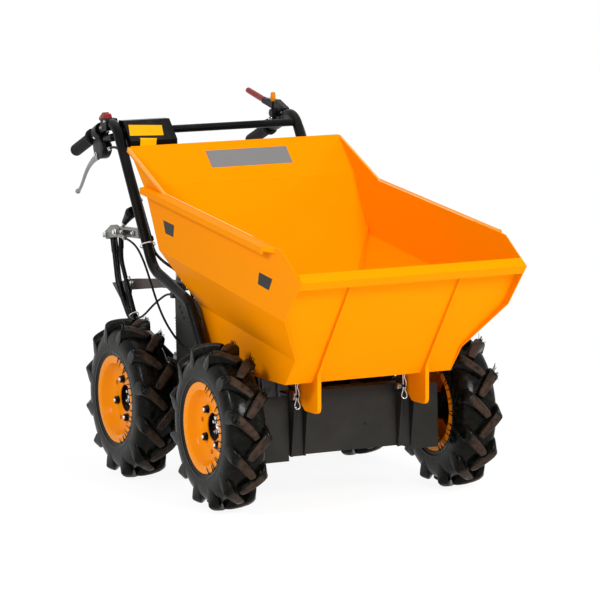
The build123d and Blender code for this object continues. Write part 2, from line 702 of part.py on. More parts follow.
def leaned(shape):
    """Put a shape built along +Z at the crankshaft, leaned back to the cylinder's direction."""
    return Pos(20, CRANK_Y, CRANK_Z) * Rot(-(90 - CYLINDER_LEAN), 0, 0) * shape


def engine_block():
    """Crankcase: a foot with four lugs, a rounded case and the cover on the output side."""
    case = extrude(Plane.YZ.offset(-62) * Pos(CRANK_Y, CRANK_Z - 12) * RectangleRounded(152, 164, 36), 150)
    foot = box(-72, 98, CRANK_Y - 84, CRANK_Y + 84, DECK_Z, DECK_Z + 14)
    cover = extrude(Plane.YZ.offset(-72) * Pos(CRANK_Y, CRANK_Z - 8) * RectangleRounded(140, 150, 34), 12)
    neck = leaned(Pos(0, 0, 50) * Box(104, 104, 60))
    return case + foot + cover + neck + rod((-140, CRANK_Y, CRANK_Z), (-70, CRANK_Y, CRANK_Z), 12)


def engine_cylinder():
    """The cylinder with its cooling fins, head and rocker cover, leaned back towards the operator."""
    barrel = Pos(0, 0, 124) * Box(84, 84, 88)
    for i in range(FIN_COUNT):
        barrel += Pos(0, 0, 84 + i * FIN_PITCH) * extrude(RectangleRounded(118, 112, 14), FIN_THICK)
    head = Pos(0, 0, 168) * extrude(RectangleRounded(104, 100, 12), 16)
    cover = Pos(0, 0, 184) * extrude(RectangleRounded(84, 76, 12), 14)
    shape = leaned(barrel + head + cover) - engine_block()
    shape += box(-8, 28, MUFFLER_Y - 26, MUFFLER_Y + 4, EXHAUST_Z - 50, EXHAUST_Z)
    return shape + box(60, 108, 336, 366, INTAKE_Z - 26, INTAKE_Z)


def engine_tank():
    """Fuel tank over the crankcase: two pressed halves with a seam flange, a neck and a cap."""
    lower = extrude(Pos(20, 212, TANK_Z) * RectangleRounded(196, 130, 34), 34, taper=-14)
    upper = extrude(Pos(20, 212, TANK_Z + 36) * RectangleRounded(212, 146, 40), 40, taper=16)
    seam = extrude(Pos(20, 212, TANK_Z + 33) * RectangleRounded(226, 160, 46), 3)
    neck = rod((-30, 212, TANK_Z + 70), (-30, 212, TANK_Z + 84), 24)
    cap = rod((-30, 212, TANK_Z + 84), (-30, 212, TANK_Z + 100), 31)
    feet = box(-40, -24, 190, 240, CRANK_Z + 70, TANK_Z) + box(64, 80, 190, 240, CRANK_Z + 70, TANK_Z)
    return lower + upper + seam + neck + cap + (feet - engine_block())


def engine_starter():
    """Fan housing and recoil starter cover, with a ring of slots and the rope's grip."""
    housing = rod((88, CRANK_Y, CRANK_Z), (126, CRANK_Y, CRANK_Z), 99)
    cover = rod((126, CRANK_Y, CRANK_Z), (158, CRANK_Y, CRANK_Z), 82)
    hub = rod((158, CRANK_Y, CRANK_Z), (166, CRANK_Y, CRANK_Z), 34)
    slot = box(146, 170, CRANK_Y - 4, CRANK_Y + 4, CRANK_Z + 42, CRANK_Z + 72)
    shape = housing + cover + hub
    for i in range(STARTER_SLOTS):
        turn = Pos(0, CRANK_Y, CRANK_Z) * Rot(i * 360 / STARTER_SLOTS, 0, 0) * Pos(0, -CRANK_Y, -CRANK_Z)
        shape -= turn * slot
    grip_bar = box(124, 142, CRANK_Y - 78, CRANK_Y - 44, CRANK_Z + 54, CRANK_Z + 70)
    return shape + grip_bar - engine_block() - engine_cylinder() - box(0, 200, 0, 400, 200, DECK_Z)


def engine_muffler():
    """The muffler over the cylinder's head, behind a louvred guard, with its outlet."""
    x0, x1 = MUFFLER_X
    z0, z1 = MUFFLER_Z
    end = Plane.YZ.offset(x0) * Pos(MUFFLER_Y, (z0 + z1) / 2) * RectangleRounded(84, z1 - z0, 26)
    body = extrude(end, x1 - x0)
    guard = box(x0 - 4, x1 + 4, MUFFLER_Y + 46, MUFFLER_Y + 49, z0 - 2, z1 + 2)
    for i in range(GUARD_SLOTS):
        x = x0 + 12 + i * (x1 - x0 - 24) / (GUARD_SLOTS - 1)
        guard -= box(x - 3.5, x + 3.5, MUFFLER_Y + 40, MUFFLER_Y + 55, z0 + 14, z1 - 14)
    stays = box(x0 + 20, x0 + 30, MUFFLER_Y + 40, MUFFLER_Y + 46, z0 + 20, z1 - 20)
    stays += box(x1 - 30, x1 - 20, MUFFLER_Y + 40, MUFFLER_Y + 46, z0 + 20, z1 - 20)
    flange = box(-12, 32, MUFFLER_Y - 30, MUFFLER_Y + 8, EXHAUST_Z, z0 + 8)
    outlet = rod((x0, MUFFLER_Y, z0 + 26), (x0 - 26, MUFFLER_Y, z0 + 26), 11)
    outlet -= rod((x0 - 4, MUFFLER_Y, z0 + 26), (x0 - 27, MUFFLER_Y, z0 + 26), 9)
    return body + guard + stays + outlet + flange


def engine_air_filter():
    """The air filter: base tray, ribbed cover and its wing nut, beside the muffler."""
    base = extrude(Plane.XY.offset(FILTER_Z) * Pos(134, 358) * RectangleRounded(104, 112, 22), 16)
    foot = Plane.XY.offset(FILTER_Z + 16) * Pos(134, 358) * RectangleRounded(112, 120, 26)
    cover = extrude(foot, 62, taper=6)
    for y in (328, 348, 368, 388):
        cover += box(96, 172, y - 2, y + 2, FILTER_Z + 70, FILTER_Z + 82)
    nut = rod((134, 358, FILTER_Z + 78), (134, 358, FILTER_Z + 92), 9)
    duct = box(86, 108, 336, 366, INTAKE_Z, FILTER_Z)
    return base + cover + nut + duct


def belt_plate(high, low, grow, x0, x1):
    """A plate round two pulleys given as (y, z, radius): two arcs and their common tangents."""
    (ya, za, ra), (yb, zb, rb) = high, low
    across = atan2(zb - za, yb - ya)
    spread = acos((ra - rb) / hypot(yb - ya, zb - za))

    def rim_point(y, z, radius, angle):
        return x0, y + (radius + grow) * cos(angle), z + (radius + grow) * sin(angle)

    a1, a2 = across + spread, across - spread
    upper = [rim_point(ya, za, ra, angle) for angle in (a1, across + pi, a2)]
    lower = [rim_point(yb, zb, rb, angle) for angle in (a2, across, a1)]
    edges = ThreePointArc(*upper) + Line(upper[2], lower[0])
    edges += ThreePointArc(*lower) + Line(lower[2], upper[0])
    return extrude(make_face(edges), x1 - x0, dir=(1, 0, 0))


def belt_cover():
    """The cover over the belt from the engine down to the gearbox, with its rim and cooling slots."""
    high = (CRANK_Y, CRANK_Z, 62)
    low = (*GEARBOX_SHAFT, 46)
    x0, x1 = BELT_X

    cover = belt_plate(high, low, 0, x0, x1) + belt_plate(high, low, 8, x1 - 4, x1)
    for i in range(5):
        y, z = along(high[:2], low[:2], 30 + i * 26)
        cover -= box(x0 - 1, x0 + 4, y - 26, y + 26, z - 3.5, z + 3.5)
    cover -= rod((-200, *GEARBOX_SHAFT), (0, *GEARBOX_SHAFT), 34)
    return cover - rod((-200, CRANK_Y, CRANK_Z), (0, CRANK_Y, CRANK_Z), 12) - engine_deck() - engine_block()


def write(name, shape):
    """Write one node, with the middle of the machine's length at Y = 0 and the ground at Z = 0."""
    export_step(Pos(0, -ORIGIN_Y, -GROUND_Z) * shape, f"parts/{name}.step")


def both(maker):
    """The right and left pieces of a pair, in one node."""
    return maker(-1) + maker(1)


def main():
    """Build every node and write it."""
    os.makedirs("parts", exist_ok=True)
    write("skip_front_wall", skip_front_wall())
    write("skip_floor", skip_floor())
    write("skip_back_wall", skip_back_wall())
    for name, side in SIDES:
        write(f"skip_side_{name}", skip_side_wall(side))
        write(f"skip_lug_{name}", skip_lug(side))
        write(f"chain_case_{name}", chain_case(side))
        write(f"handle_tube_{name}", handle_tube(side))
        write(f"grip_{name}", grip(side))
        for end, sign in (("front", -1), ("rear", 1)):
            y = sign * AXLE_Y
            write(f"tyre_{end}_{name}", tyre(side, y))
            write(f"rim_{end}_{name}", rim(side, y))
            write(f"hub_{end}_{name}", hub(side, y))
    for end, sign in (("front", -1), ("rear", 1)):
        write(f"axles_{end}", stub_axle(-1, sign * AXLE_Y) + stub_axle(1, sign * AXLE_Y))
    write("front_posts", both(front_post))
    write("hinge_pins", both(hinge_pin))
    write("handle_brackets", both(handle_bracket))
    single = (
        front_panel, rear_panel, engine_deck, gearbox, rest_pads, handle_crossbar, control_box,
        brake_lever, clutch_lever, throttle_lever, ignition_switch, gear_arm, gear_lever, lower_arm,
        gear_rod, skip_latch, engine_block, engine_cylinder, engine_tank, engine_starter,
        engine_muffler, engine_air_filter, belt_cover, sheath_bundles,
    )
    for maker in single:
        write(maker.__name__, maker())
    for name in CABLES:
        write(name, cable(name))


main()
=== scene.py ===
"""Walk-behind mini dumper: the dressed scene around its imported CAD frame.

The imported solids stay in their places. This script gives them their finishes, puts the moulded tyres, the
control cables and the small fittings on them, and sets up a pale studio with the camera.

Points are written in millimetres in the drawing frame of the part: +Z up, the ground at Z = -6, the machine
tips towards -Y, the operator's right hand at -X. metres() takes them to the row frame, with the ground at 0.
"""
from __future__ import annotations

import json
import logging
from dataclasses import dataclass, field
from enum import Enum
from math import cos, pi, radians, sin
from typing import Any, Sequence

import bpy
import numpy as np
from mathutils import Matrix, Vector

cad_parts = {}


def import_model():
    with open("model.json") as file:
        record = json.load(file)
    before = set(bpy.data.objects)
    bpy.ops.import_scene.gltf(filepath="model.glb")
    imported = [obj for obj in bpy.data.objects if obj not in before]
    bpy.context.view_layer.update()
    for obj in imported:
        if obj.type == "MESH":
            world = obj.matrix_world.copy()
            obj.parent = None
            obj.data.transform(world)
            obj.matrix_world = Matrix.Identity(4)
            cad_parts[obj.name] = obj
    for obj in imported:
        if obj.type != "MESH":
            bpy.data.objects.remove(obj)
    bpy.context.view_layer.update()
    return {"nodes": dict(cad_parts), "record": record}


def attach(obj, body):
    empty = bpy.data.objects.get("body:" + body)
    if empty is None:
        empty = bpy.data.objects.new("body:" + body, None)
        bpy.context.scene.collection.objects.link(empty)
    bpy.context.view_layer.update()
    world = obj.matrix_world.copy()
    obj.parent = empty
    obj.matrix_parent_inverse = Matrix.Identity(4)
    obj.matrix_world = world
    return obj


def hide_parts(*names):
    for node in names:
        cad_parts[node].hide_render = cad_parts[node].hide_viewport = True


LOG = logging.getLogger("dumper")

ORIGIN = (0.0, 20.6, -6.0)  # mm: the row frame's origin in the drawing frame
DUST = "#8C8478"  # dry site dust, on faces that look up
Point = tuple[float, float, float]
Shelf = dict[str, bpy.types.Material]  # the finishes by name


class Side(Enum):
    """The two sides of the machine, as the sign of X. Right is the operator's right."""

    RIGHT = -1
    LEFT = 1

    @property
    def word(self) -> str:
        """The side as names have it."""
        return self.name.lower()


class Body(str, Enum):
    """The bodies of the frame that pieces ride on."""

    CHASSIS = "chassis"
    SKIP = "skip"


# ---- surfaces -----------------------------------------------------------------------------------------
@dataclass
class Surface:
    """A surface as arrays: corners in the drawing frame, quads and triangles, and a wear value per corner."""

    points: np.ndarray
    quads: np.ndarray = field(default_factory=lambda: np.zeros((0, 4), int))
    tris: np.ndarray = field(default_factory=lambda: np.zeros((0, 3), int))
    wear: np.ndarray | None = None

    def moved(self, matrix: np.ndarray) -> Surface:
        """A copy under a matrix.

        Args:
            matrix: 4 x 4. One that mirrors also turns the faces round.

        Returns:
            The moved copy.
        """
        turn = -1 if np.linalg.det(matrix[:3, :3]) < 0 else 1
        points = self.points @ matrix[:3, :3].T + matrix[:3, 3]
        return Surface(points, self.quads[:, ::turn], self.tris[:, ::turn], self.wear)

    def shifted(self, offset: Sequence[float]) -> Surface:
        """A copy moved by an offset."""
        return Surface(self.points + np.asarray(offset, float), self.quads, self.tris, self.wear)


def metres(points: np.ndarray | Sequence) -> np.ndarray:
    """Points of the drawing frame in millimetres, as points of the row frame in metres."""
    return (np.asarray(points, float) - ORIGIN) / 1000


def circle(count: int) -> np.ndarray:
    """Angles evenly round a circle, in radians."""
    return np.linspace(0, 2 * pi, count, endpoint=False)


def unit(vectors: np.ndarray | Sequence[float]) -> np.ndarray:
    """The same directions with length 1."""
    rows = np.asarray(vectors, float)
    return rows / np.linalg.norm(rows, axis=-1, keepdims=True)


def superellipse(angles: np.ndarray, exponent: float) -> tuple[np.ndarray, np.ndarray]:
    """Across and up: sign(c) |c|^exponent and sign(s) |s|^exponent, with c and s the cosine and sine."""
    c, s = np.cos(angles), np.sin(angles)
    return np.sign(c) * np.abs(c) ** exponent, np.sign(s) * np.abs(s) ** exponent


def joined(surfaces: Sequence[Surface]) -> Surface:
    """Several surfaces as one, their corners stacked and their faces renumbered.

    Args:
        surfaces: the surfaces. One without wear counts as unworn.

    Returns:
        The one surface.
    """
    starts = np.cumsum([0] + [len(s.points) for s in surfaces[:-1]])
    worn = [s.wear if s.wear is not None else np.zeros(len(s.points)) for s in surfaces]
    return Surface(
        np.concatenate([s.points for s in surfaces]),
        np.concatenate([s.quads + n for s, n in zip(surfaces, starts)]),
        np.concatenate([s.tris + n for s, n in zip(surfaces, starts)]),
        np.concatenate(worn),
    )


def grid(points: np.ndarray, loop_u: bool = False, loop_v: bool = True, caps: bool = False,
         wear: np.ndarray | None = None) -> Surface:
    """A surface over a grid of two parameters: one quad between each four neighbouring stations.

    Args:
        points: corners as an array (stations along u, stations along v, 3).
        loop_u: whether the last station along u joins the first.
        loop_v: whether the last station along v joins the first.
        caps: whether both ends along u are closed by a fan about the ring's middle.
        wear: a wear value per corner, in the same grid.

    Returns:
        The surface. It faces outwards where v turns anticlockwise seen against the direction of u.
    """
    nu, nv = points.shape[:2]
    index = np.arange(nu * nv).reshape(nu, nv)
    i = np.arange(nu if loop_u else nu - 1)
    j = np.arange(nv if loop_v else nv - 1)
    i0, j0 = np.meshgrid(i, j, indexing="ij")
    i1, j1 = (i0 + 1) % nu, (j0 + 1) % nv
    quads = np.stack([index[i0, j0], index[i0, j1], index[i1, j1], index[i1, j0]], -1).reshape(-1, 4)
    corners = points.reshape(-1, 3)
    values = np.zeros(nu * nv) if wear is None else wear.reshape(-1)
    tris = np.zeros((0, 3), int)
    if caps:
        a, b = index[0], index[-1]
        first, last = np.full(nv, nu * nv), np.full(nv, nu * nv + 1)
        tris = np.concatenate([
            np.stack([first, np.roll(a, -1), a], -1), np.stack([last, b, np.roll(b, -1)], -1),
        ])
        corners = np.concatenate([corners, [points[0].mean(0), points[-1].mean(0)]])
        values = np.concatenate([values, [values[a].mean(), values[b].mean()]])
    return Surface(corners, quads, tris, values)


def turned(profile: Sequence[tuple[float, float]], segments: int = 24, closed: bool = False) -> Surface:
    """A shape turned about the X axis: (a, r) of the profile goes to (a, r cos t, r sin t) for t round the circle.

    Args:
        profile: (distance along the axis, radius) pairs, the axis end with the lower distance first.
        segments: how many flats the circle has.
        closed: whether the profile is a loop, as a ring's is. Otherwise its ends are capped.

    Returns:
        The surface.
    """
    p = np.asarray(profile, float)
    t = circle(segments)
    a = np.broadcast_to(p[:, :1], (len(p), segments))
    r = p[:, 1:]
    return grid(np.stack([a, r * np.cos(t), r * np.sin(t)], -1), loop_u=closed, caps=not closed)


def aimed(surface: Surface, origin: Sequence[float], axis: Sequence[float], twist: float = 0.0) -> Surface:
    """A surface drawn along the X axis, moved so that it starts at origin and points along axis.

    Args:
        surface: the surface, drawn from the origin along X.
        origin: where it starts.
        axis: the direction that it points in, of any length.
        twist: how far it is turned about that axis, in radians.

    Returns:
        The moved surface.
    """
    x = unit(axis)
    y = unit(np.cross((0.0, 0.0, 1.0) if abs(x[2]) < 0.9 else (0.0, 1.0, 0.0), x))
    z = np.cross(x, y)
    y, z = y * cos(twist) + z * sin(twist), z * cos(twist) - y * sin(twist)
    matrix = np.eye(4)
    matrix[:3, 0], matrix[:3, 1], matrix[:3, 2], matrix[:3, 3] = x, y, z, origin
    return surface.moved(matrix)


def smooth_line(points: Sequence[Sequence[float]], rounds: int = 3) -> np.ndarray:
    """A line with its corners cut: each round puts points at 1/4 and 3/4 of every run, and keeps the two ends.

    Args:
        points: the corners of the line, with any number of columns.
        rounds: how many times they are cut.

    Returns:
        The smoothed line.
    """
    line = np.asarray(points, float)
    for _ in range(rounds):
        cut = np.stack([0.75 * line[:-1] + 0.25 * line[1:], 0.25 * line[:-1] + 0.75 * line[1:]], 1)
        line = np.concatenate([line[:1], cut.reshape(-1, line.shape[1])[1:-1], line[-1:]])
    return line


def carried(path: Sequence[Sequence[float]], widths: np.ndarray | float, heights: np.ndarray | float,
            up: Sequence[float] = (0, 0, 1), segments: int = 16, power: float = 2.0) -> Surface:
    """A rounded profile carried along a path: at each station a superellipse in the plane across the path.

    Args:
        path: the stations of the centre line.
        widths: half of the profile's width at each station, across the up direction.
        heights: half of its height at each station, along the up direction.
        up: the direction that the height points in.
        segments: points round the profile.
        power: 2 for an ellipse, more for a squarer section.

    Returns:
        The surface, with both ends closed.
    """
    line = np.asarray(path, float)
    tangent = unit(np.gradient(line, axis=0))
    side = unit(np.cross(np.asarray(up, float), tangent))
    rise = np.cross(tangent, side)
    c, s = superellipse(circle(segments), 2 / power)
    w = np.broadcast_to(np.asarray(widths, float), len(line))[:, None, None]
    h = np.broadcast_to(np.asarray(heights, float), len(line))[:, None, None]
    rings = line[:, None] + w * c[None, :, None] * side[:, None] + h * s[None, :, None] * rise[:, None]
    return grid(rings, caps=True)


def wire(path: Sequence[Sequence[float]], radius: float, segments: int = 10) -> Surface:
    """A round wire along a path that lies nearly in a plane: a circle across it at each station.

    Args:
        path: the stations of its middle.
        radius: the wire's radius.
        segments: points round it.

    Returns:
        The wire, with both ends closed.
    """
    line = np.asarray(path, float)
    normal = np.linalg.svd(line - line.mean(0), full_matrices=False)[2][2]
    ahead = unit(np.gradient(line, axis=0))
    side = unit(np.cross(normal, ahead))
    rise = np.cross(ahead, side)
    t = circle(segments)[None, :, None]
    return grid(line[:, None] + radius * (np.cos(t) * side[:, None] + np.sin(t) * rise[:, None]), caps=True)


def plate(outline: Sequence[Sequence[float]], rise: Sequence[float]) -> Surface:
    """A flat plate: a convex outline, anticlockwise seen from where rise points, its copy moved by rise, a rim."""
    low = np.asarray(outline, float)
    return grid(np.stack([low, low + np.asarray(rise, float)]), caps=True)


@dataclass
class Piece:
    """A piece to make: its surface in the drawing frame, its finish, its material slot and its shading."""

    name: str
    surface: Surface
    finish: str                                         # its name on the shelf of finishes
    slot: str                                           # the record's material slot
    smooth: float | None = 40.0                         # degrees: up to here shading is smooth, None for flat faces
    replaces: str = ""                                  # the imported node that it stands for

    def build(self, material: bpy.types.Material, body: str) -> None:
        """Puts the piece into the scene, at the origin.

        Args:
            material: its material.
            body: the body that it rides on.
        """
        points, faces = metres(self.surface.points), self.surface.quads.tolist() + self.surface.tris.tolist()
        mesh = bpy.data.meshes.new(self.name)
        mesh.from_pydata(points.tolist(), [], faces)
        if self.surface.wear is not None and self.surface.wear.any():
            layer = mesh.attributes.new("wear", "FLOAT", "POINT")
            layer.data.foreach_set("value", self.surface.wear.astype(np.float32))
        mesh.materials.append(material)
        mesh.polygons.foreach_set("use_smooth", np.full(len(mesh.polygons), self.smooth is not None))
        if self.smooth is not None:
            mesh.set_sharp_from_angle(angle=radians(self.smooth))
        mesh.update()
        placed = bpy.data.objects.new(self.name, mesh)
        bpy.context.scene.collection.objects.link(placed)
        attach(placed, body)
        if self.replaces:
            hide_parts(self.replaces)
        LOG.info("%s: %d faces on %s", self.name, len(faces), body)


class Assembly:
    """A sub-assembly of the machine: pieces that ride on one body."""

    body = Body.CHASSIS.value

    def pieces(self) -> list[Piece]:
        """The pieces, in the order in which they are made."""
        raise NotImplementedError

    def build(self, shelf: Shelf) -> None:
        """Makes every piece with its finish from the shelf."""
        for piece in self.pieces():
            piece.build(shelf[piece.finish], self.body)


# ---- simple forms -------------------------------------------------------------------------------------
def slab(outline: Sequence[tuple[float, float]], x0: float, x1: float, rim: float = 0.8,
         rounds: int = 0) -> Surface:
    """A plate across X: its outline in side view, with both rims rounded by shrinking it towards its middle.

    Args:
        outline: (y, z) corners, each in sight of the outline's middle.
        x0: one face's distance along X.
        x1: the other face's.
        rim: the radius of the rims.
        rounds: how many times the outline's corners are cut.

    Returns:
        The plate.
    """
    loop = np.asarray(outline, float)
    if np.sum(loop[:, 0] * np.roll(loop[:, 1], -1) - np.roll(loop[:, 0], -1) * loop[:, 1]) < 0:
        loop = loop[::-1]
    for _ in range(rounds):
        after = np.roll(loop, -1, 0)
        loop = np.stack([0.75 * loop + 0.25 * after, 0.25 * loop + 0.75 * after], 1).reshape(-1, 2)
    middle = loop.mean(0)
    reach = np.abs(loop - middle).max()
    low, high = sorted((x0, x1))
    turn = np.radians([0, 30, 60, 90])
    x = np.concatenate([low + rim * (1 - np.cos(turn)), high - rim * (1 - np.cos(turn[::-1]))])
    shrink = 1 - rim / reach * (1 - np.sin(np.concatenate([turn, turn[::-1]])))
    yz = middle + (loop - middle)[None] * shrink[:, None, None]
    return grid(np.concatenate([np.broadcast_to(x[:, None, None], (*yz.shape[:2], 1)), yz], -1), caps=True)


def bar(start: Sequence[float], end: Sequence[float], radius: float, chamfer: float = 0.6,
        segments: int = 24) -> Surface:
    """A round bar from one point to another, with both ends chamfered.

    Args:
        start: one end's middle.
        end: the other end's middle.
        radius: the bar's radius.
        chamfer: the width of the chamfers.
        segments: flats round it.

    Returns:
        The bar.
    """
    axis = np.asarray(end, float) - np.asarray(start, float)
    length = float(np.linalg.norm(axis))
    profile = [(0, radius - chamfer), (chamfer, radius), (length - chamfer, radius), (length, radius - chamfer)]
    return aimed(turned(profile, segments), start, axis)


def ring(start: Sequence[float], end: Sequence[float], inner: float, outer: float, chamfer: float = 0.8,
         segments: int = 36) -> Surface:
    """A ring about the line between two points, its outer rims chamfered.

    Args:
        start: one face's middle.
        end: the other face's middle.
        inner: the bore's radius.
        outer: the outer radius.
        chamfer: the width of the chamfers.
        segments: flats round it.

    Returns:
        The ring.
    """
    axis = np.asarray(end, float) - np.asarray(start, float)
    length = float(np.linalg.norm(axis))
    loop = [(0, inner), (0, outer - chamfer), (chamfer, outer), (length - chamfer, outer),
            (length, outer - chamfer), (length, inner)]
    return aimed(turned(loop[::-1], segments, closed=True), start, axis)


def weld(path: Sequence[Sequence[float]], radius: float, pitch: float = 3.2) -> Surface:
    """A weld bead along a straight or bent line: a round bar that swells once for each drop of the arc.

    Args:
        path: the corners of the line.
        radius: the bead's largest radius.
        pitch: the distance from drop to drop.

    Returns:
        The bead.
    """
    line = np.asarray(path, float)
    run = np.concatenate([[0.0], np.cumsum(np.linalg.norm(np.diff(line, axis=0), axis=1))])
    s = np.linspace(0, run[-1], max(8, int(run[-1] / pitch * 4)))
    spots = np.stack([np.interp(s, run, line[:, k]) for k in range(3)], -1)
    swell = radius * (0.86 + 0.14 * np.abs(np.sin(pi * s / pitch)))
    swell[[0, -1]] *= 0.55
    return carried(spots, swell, swell, up=(0.31, 0.11, 0.94), segments=8)


def mirrored(surface: Surface) -> Surface:
    """The same surface on the machine's other side."""
    return surface.moved(np.diag([-1.0, 1.0, 1.0, 1.0]))


def pair(surface: Surface) -> Surface:
    """A surface and its mirror image on the other side."""
    return joined([surface, mirrored(surface)])


# ---- finishes -----------------------------------------------------------------------------------------
def linear(hex_colour: str) -> tuple[float, float, float, float]:
    """An sRGB hex colour as linear red, green, blue and alpha."""
    levels = [int(hex_colour[i:i + 2], 16) / 255 for i in (1, 3, 5)]
    return (*[c / 12.92 if c <= 0.04045 else ((c + 0.055) / 1.055) ** 2.4 for c in levels], 1.0)


def feed(tree: bpy.types.NodeTree, target: bpy.types.Node, links: dict[str, Any]) -> None:
    """Feeds the inputs of a node.

    Args:
        tree: the node tree.
        target: the node.
        links: what each input takes: a socket is linked, anything else is set as its value.
    """
    for key, value in links.items():
        plug = target.inputs[int(key)] if key.isdigit() else target.inputs[key]
        if isinstance(value, bpy.types.NodeSocket):
            tree.links.new(value, plug)
        else:
            plug.default_value = value


def node(tree: bpy.types.NodeTree, kind: str, links: dict[str, Any] | None = None, **settings: Any) -> bpy.types.Node:
    """Adds a node to a tree.

    Args:
        tree: the node tree.
        kind: the node's type, without the ShaderNode at its start.
        links: what its inputs take, as in feed().
        **settings: attributes of the node, such as operation.

    Returns:
        The new node.
    """
    made = tree.nodes.new("ShaderNode" + kind)
    for key, value in settings.items():
        setattr(made, key, value)
    feed(tree, made, links or {})
    return made


def blank(name: str) -> tuple[bpy.types.Material, bpy.types.NodeTree, bpy.types.Node]:
    """A new material with its tree and its Principled shader.

    Args:
        name: the material's name.

    Returns:
        The material, its tree and its shader.
    """
    material = bpy.data.materials.new(name)
    material.use_nodes = True
    tree = material.node_tree
    return material, tree, tree.nodes["Principled BSDF"]


def ramp(tree: bpy.types.NodeTree, factor: bpy.types.NodeSocket, low: float, high: float,
         to_low: float = 0.0, to_high: float = 1.0, kind: str = "SMOOTHSTEP") -> bpy.types.NodeSocket:
    """A value between low and high, spread over the range from to_low to to_high."""
    links = {"Value": factor, "From Min": low, "From Max": high, "To Min": to_low, "To Max": to_high}
    return node(tree, "MapRange", links, interpolation_type=kind).outputs["Result"]


def noise(tree: bpy.types.NodeTree, place: bpy.types.NodeSocket, cell_mm: float, detail: float,
          roughness: float = 0.5) -> bpy.types.NodeSocket:
    """Noise between 0 and 1, its cells a size in millimetres."""
    links = {"Vector": place, "Scale": 1000 / cell_mm, "Detail": detail, "Roughness": roughness}
    return node(tree, "TexNoise", links).outputs["Fac"]


def combined(tree: bpy.types.NodeTree, one: Any, other: Any, operation: str = "MULTIPLY") -> bpy.types.NodeSocket:
    """Two values combined into one by an operation."""
    return node(tree, "Math", {"0": one, "1": other}, operation=operation).outputs[0]


def blend(tree: bpy.types.NodeTree, share: bpy.types.NodeSocket, under: Any, over: Any) -> bpy.types.NodeSocket:
    """A colour between two: under where the share is 0, over where it is 1."""
    return node(tree, "Mix", {"Factor": share, "A": under, "B": over}, data_type="RGBA").outputs["Result"]


@dataclass(frozen=True)
class Finish:
    """What every finish has: its colours, gloss, grain and how its edges and hollows wear.

    The grain is noise with a cell of grain_mm. Edges within edge_mm of a corner are rounded in the shading, as
    folded or cast edges are, and take the colour of wear. A slow mottle of patch_mm varies colour and gloss.
    """

    name: str
    colour: str
    worn: str
    roughness: float
    rough_spread: float = 0.08
    metallic: float = 0.0
    specular: float = 0.5
    grain_mm: float = 1.2
    grain_height_mm: float = 0.02
    patch_mm: float = 60.0
    patch_depth: float = 0.12
    edge_mm: float = 1.0
    edge_wear: float = 0.25
    dust_share: float = 0.0

    def made(self) -> bpy.types.Material:
        """Builds the material.

        Returns:
            The material, with its colour, roughness and normal wired.
        """
        material, tree, shader = blank(self.name)
        base, worn = linear(self.colour), linear(self.worn)
        place = node(tree, "TexCoord").outputs["Object"]
        grain = noise(tree, place, self.grain_mm, 3.0, 0.55)
        patch = noise(tree, place, self.patch_mm, 4.0, 0.6)
        rounded = node(tree, "Bevel", {"Radius": self.edge_mm / 1000}, samples=4).outputs["Normal"]
        flat = node(tree, "NewGeometry").outputs["Normal"]
        along = node(tree, "VectorMath", {"0": rounded, "1": flat}, operation="DOT_PRODUCT").outputs["Value"]
        edge = combined(tree, ramp(tree, along, 0.995, 0.86), ramp(tree, patch, 0.42, 0.6))
        mottled = blend(tree, ramp(tree, patch, 0.3, 0.75, 0.0, self.patch_depth), base, worn)
        colour = blend(tree, combined(tree, edge, self.edge_wear), mottled, worn)
        if self.dust_share:
            upward = node(tree, "SeparateXYZ", {"Vector": flat}).outputs["Z"]
            facing = ramp(tree, upward, 0.2, 0.95, 0.0, self.dust_share)
            colour = blend(tree, combined(tree, facing, ramp(tree, patch, 0.35, 0.65)), colour, linear(DUST))
        half = self.rough_spread / 2
        bump = node(tree, "Bump", {"Height": grain, "Distance": self.grain_height_mm / 1000, "Strength": 1.0,
                                   "Normal": rounded}).outputs["Normal"]
        feed(tree, shader, {
            "Base Color": colour, "Normal": bump, "Metallic": self.metallic, "Specular IOR Level": self.specular,
            "Roughness": ramp(tree, patch, 0.3, 0.7, self.roughness - half, self.roughness + half, "LINEAR"),
        })
        return material


@dataclass(frozen=True)
class Rubber:
    """Moulded tyre rubber: satin walls, fine mould grain and lug tops scuffed brown by the ground.

    The wear comes from the mesh's own wear attribute, which is 1 on the lug tops and 0 in the valleys.
    """

    name: str = "moulded_tyre_rubber"
    colour: str = "#080907"
    bloom: str = "#1A1914"
    scuffed: str = "#3E3027"
    roughness: float = 0.16
    grain_mm: float = 1.6
    patch_mm: float = 17.0
    dent_mm: float = 11.0
    specular: float = 0.08

    def made(self) -> bpy.types.Material:
        """Builds the material: shallow dents under a fine grain, and a bloom and scuffs over the black.

        Returns:
            The material, with its colour, roughness and normal wired.
        """
        material, tree, shader = blank(self.name)
        place = node(tree, "TexCoord").outputs["Object"]
        patch = noise(tree, place, self.patch_mm, 5.0, 0.65)
        wear = node(tree, "Attribute", attribute_name="wear").outputs["Fac"]
        worn = combined(tree, ramp(tree, wear, 0.55, 1.0), ramp(tree, patch, 0.3, 0.62, 0.25, 1.0))
        bloomed = blend(tree, ramp(tree, patch, 0.4, 0.75), linear(self.colour), linear(self.bloom))
        satin = ramp(tree, patch, 0.3, 0.7, self.roughness - 0.05, self.roughness + 0.2)
        bump = None
        for cell, detail, depth, strength in ((self.dent_mm, 3.0, 0.0009, 0.55), (self.grain_mm, 4.0, 0.00008, 0.4)):
            links = {"Height": noise(tree, place, cell, detail), "Distance": depth, "Strength": strength}
            bump = node(tree, "Bump", links | ({"Normal": bump} if bump else {})).outputs["Normal"]
        feed(tree, shader, {
            "Base Color": blend(tree, worn, bloomed, linear(self.scuffed)), "Normal": bump,
            "Roughness": combined(tree, satin, combined(tree, worn, 0.3), "ADD"), "Specular IOR Level": self.specular,
        })
        return material


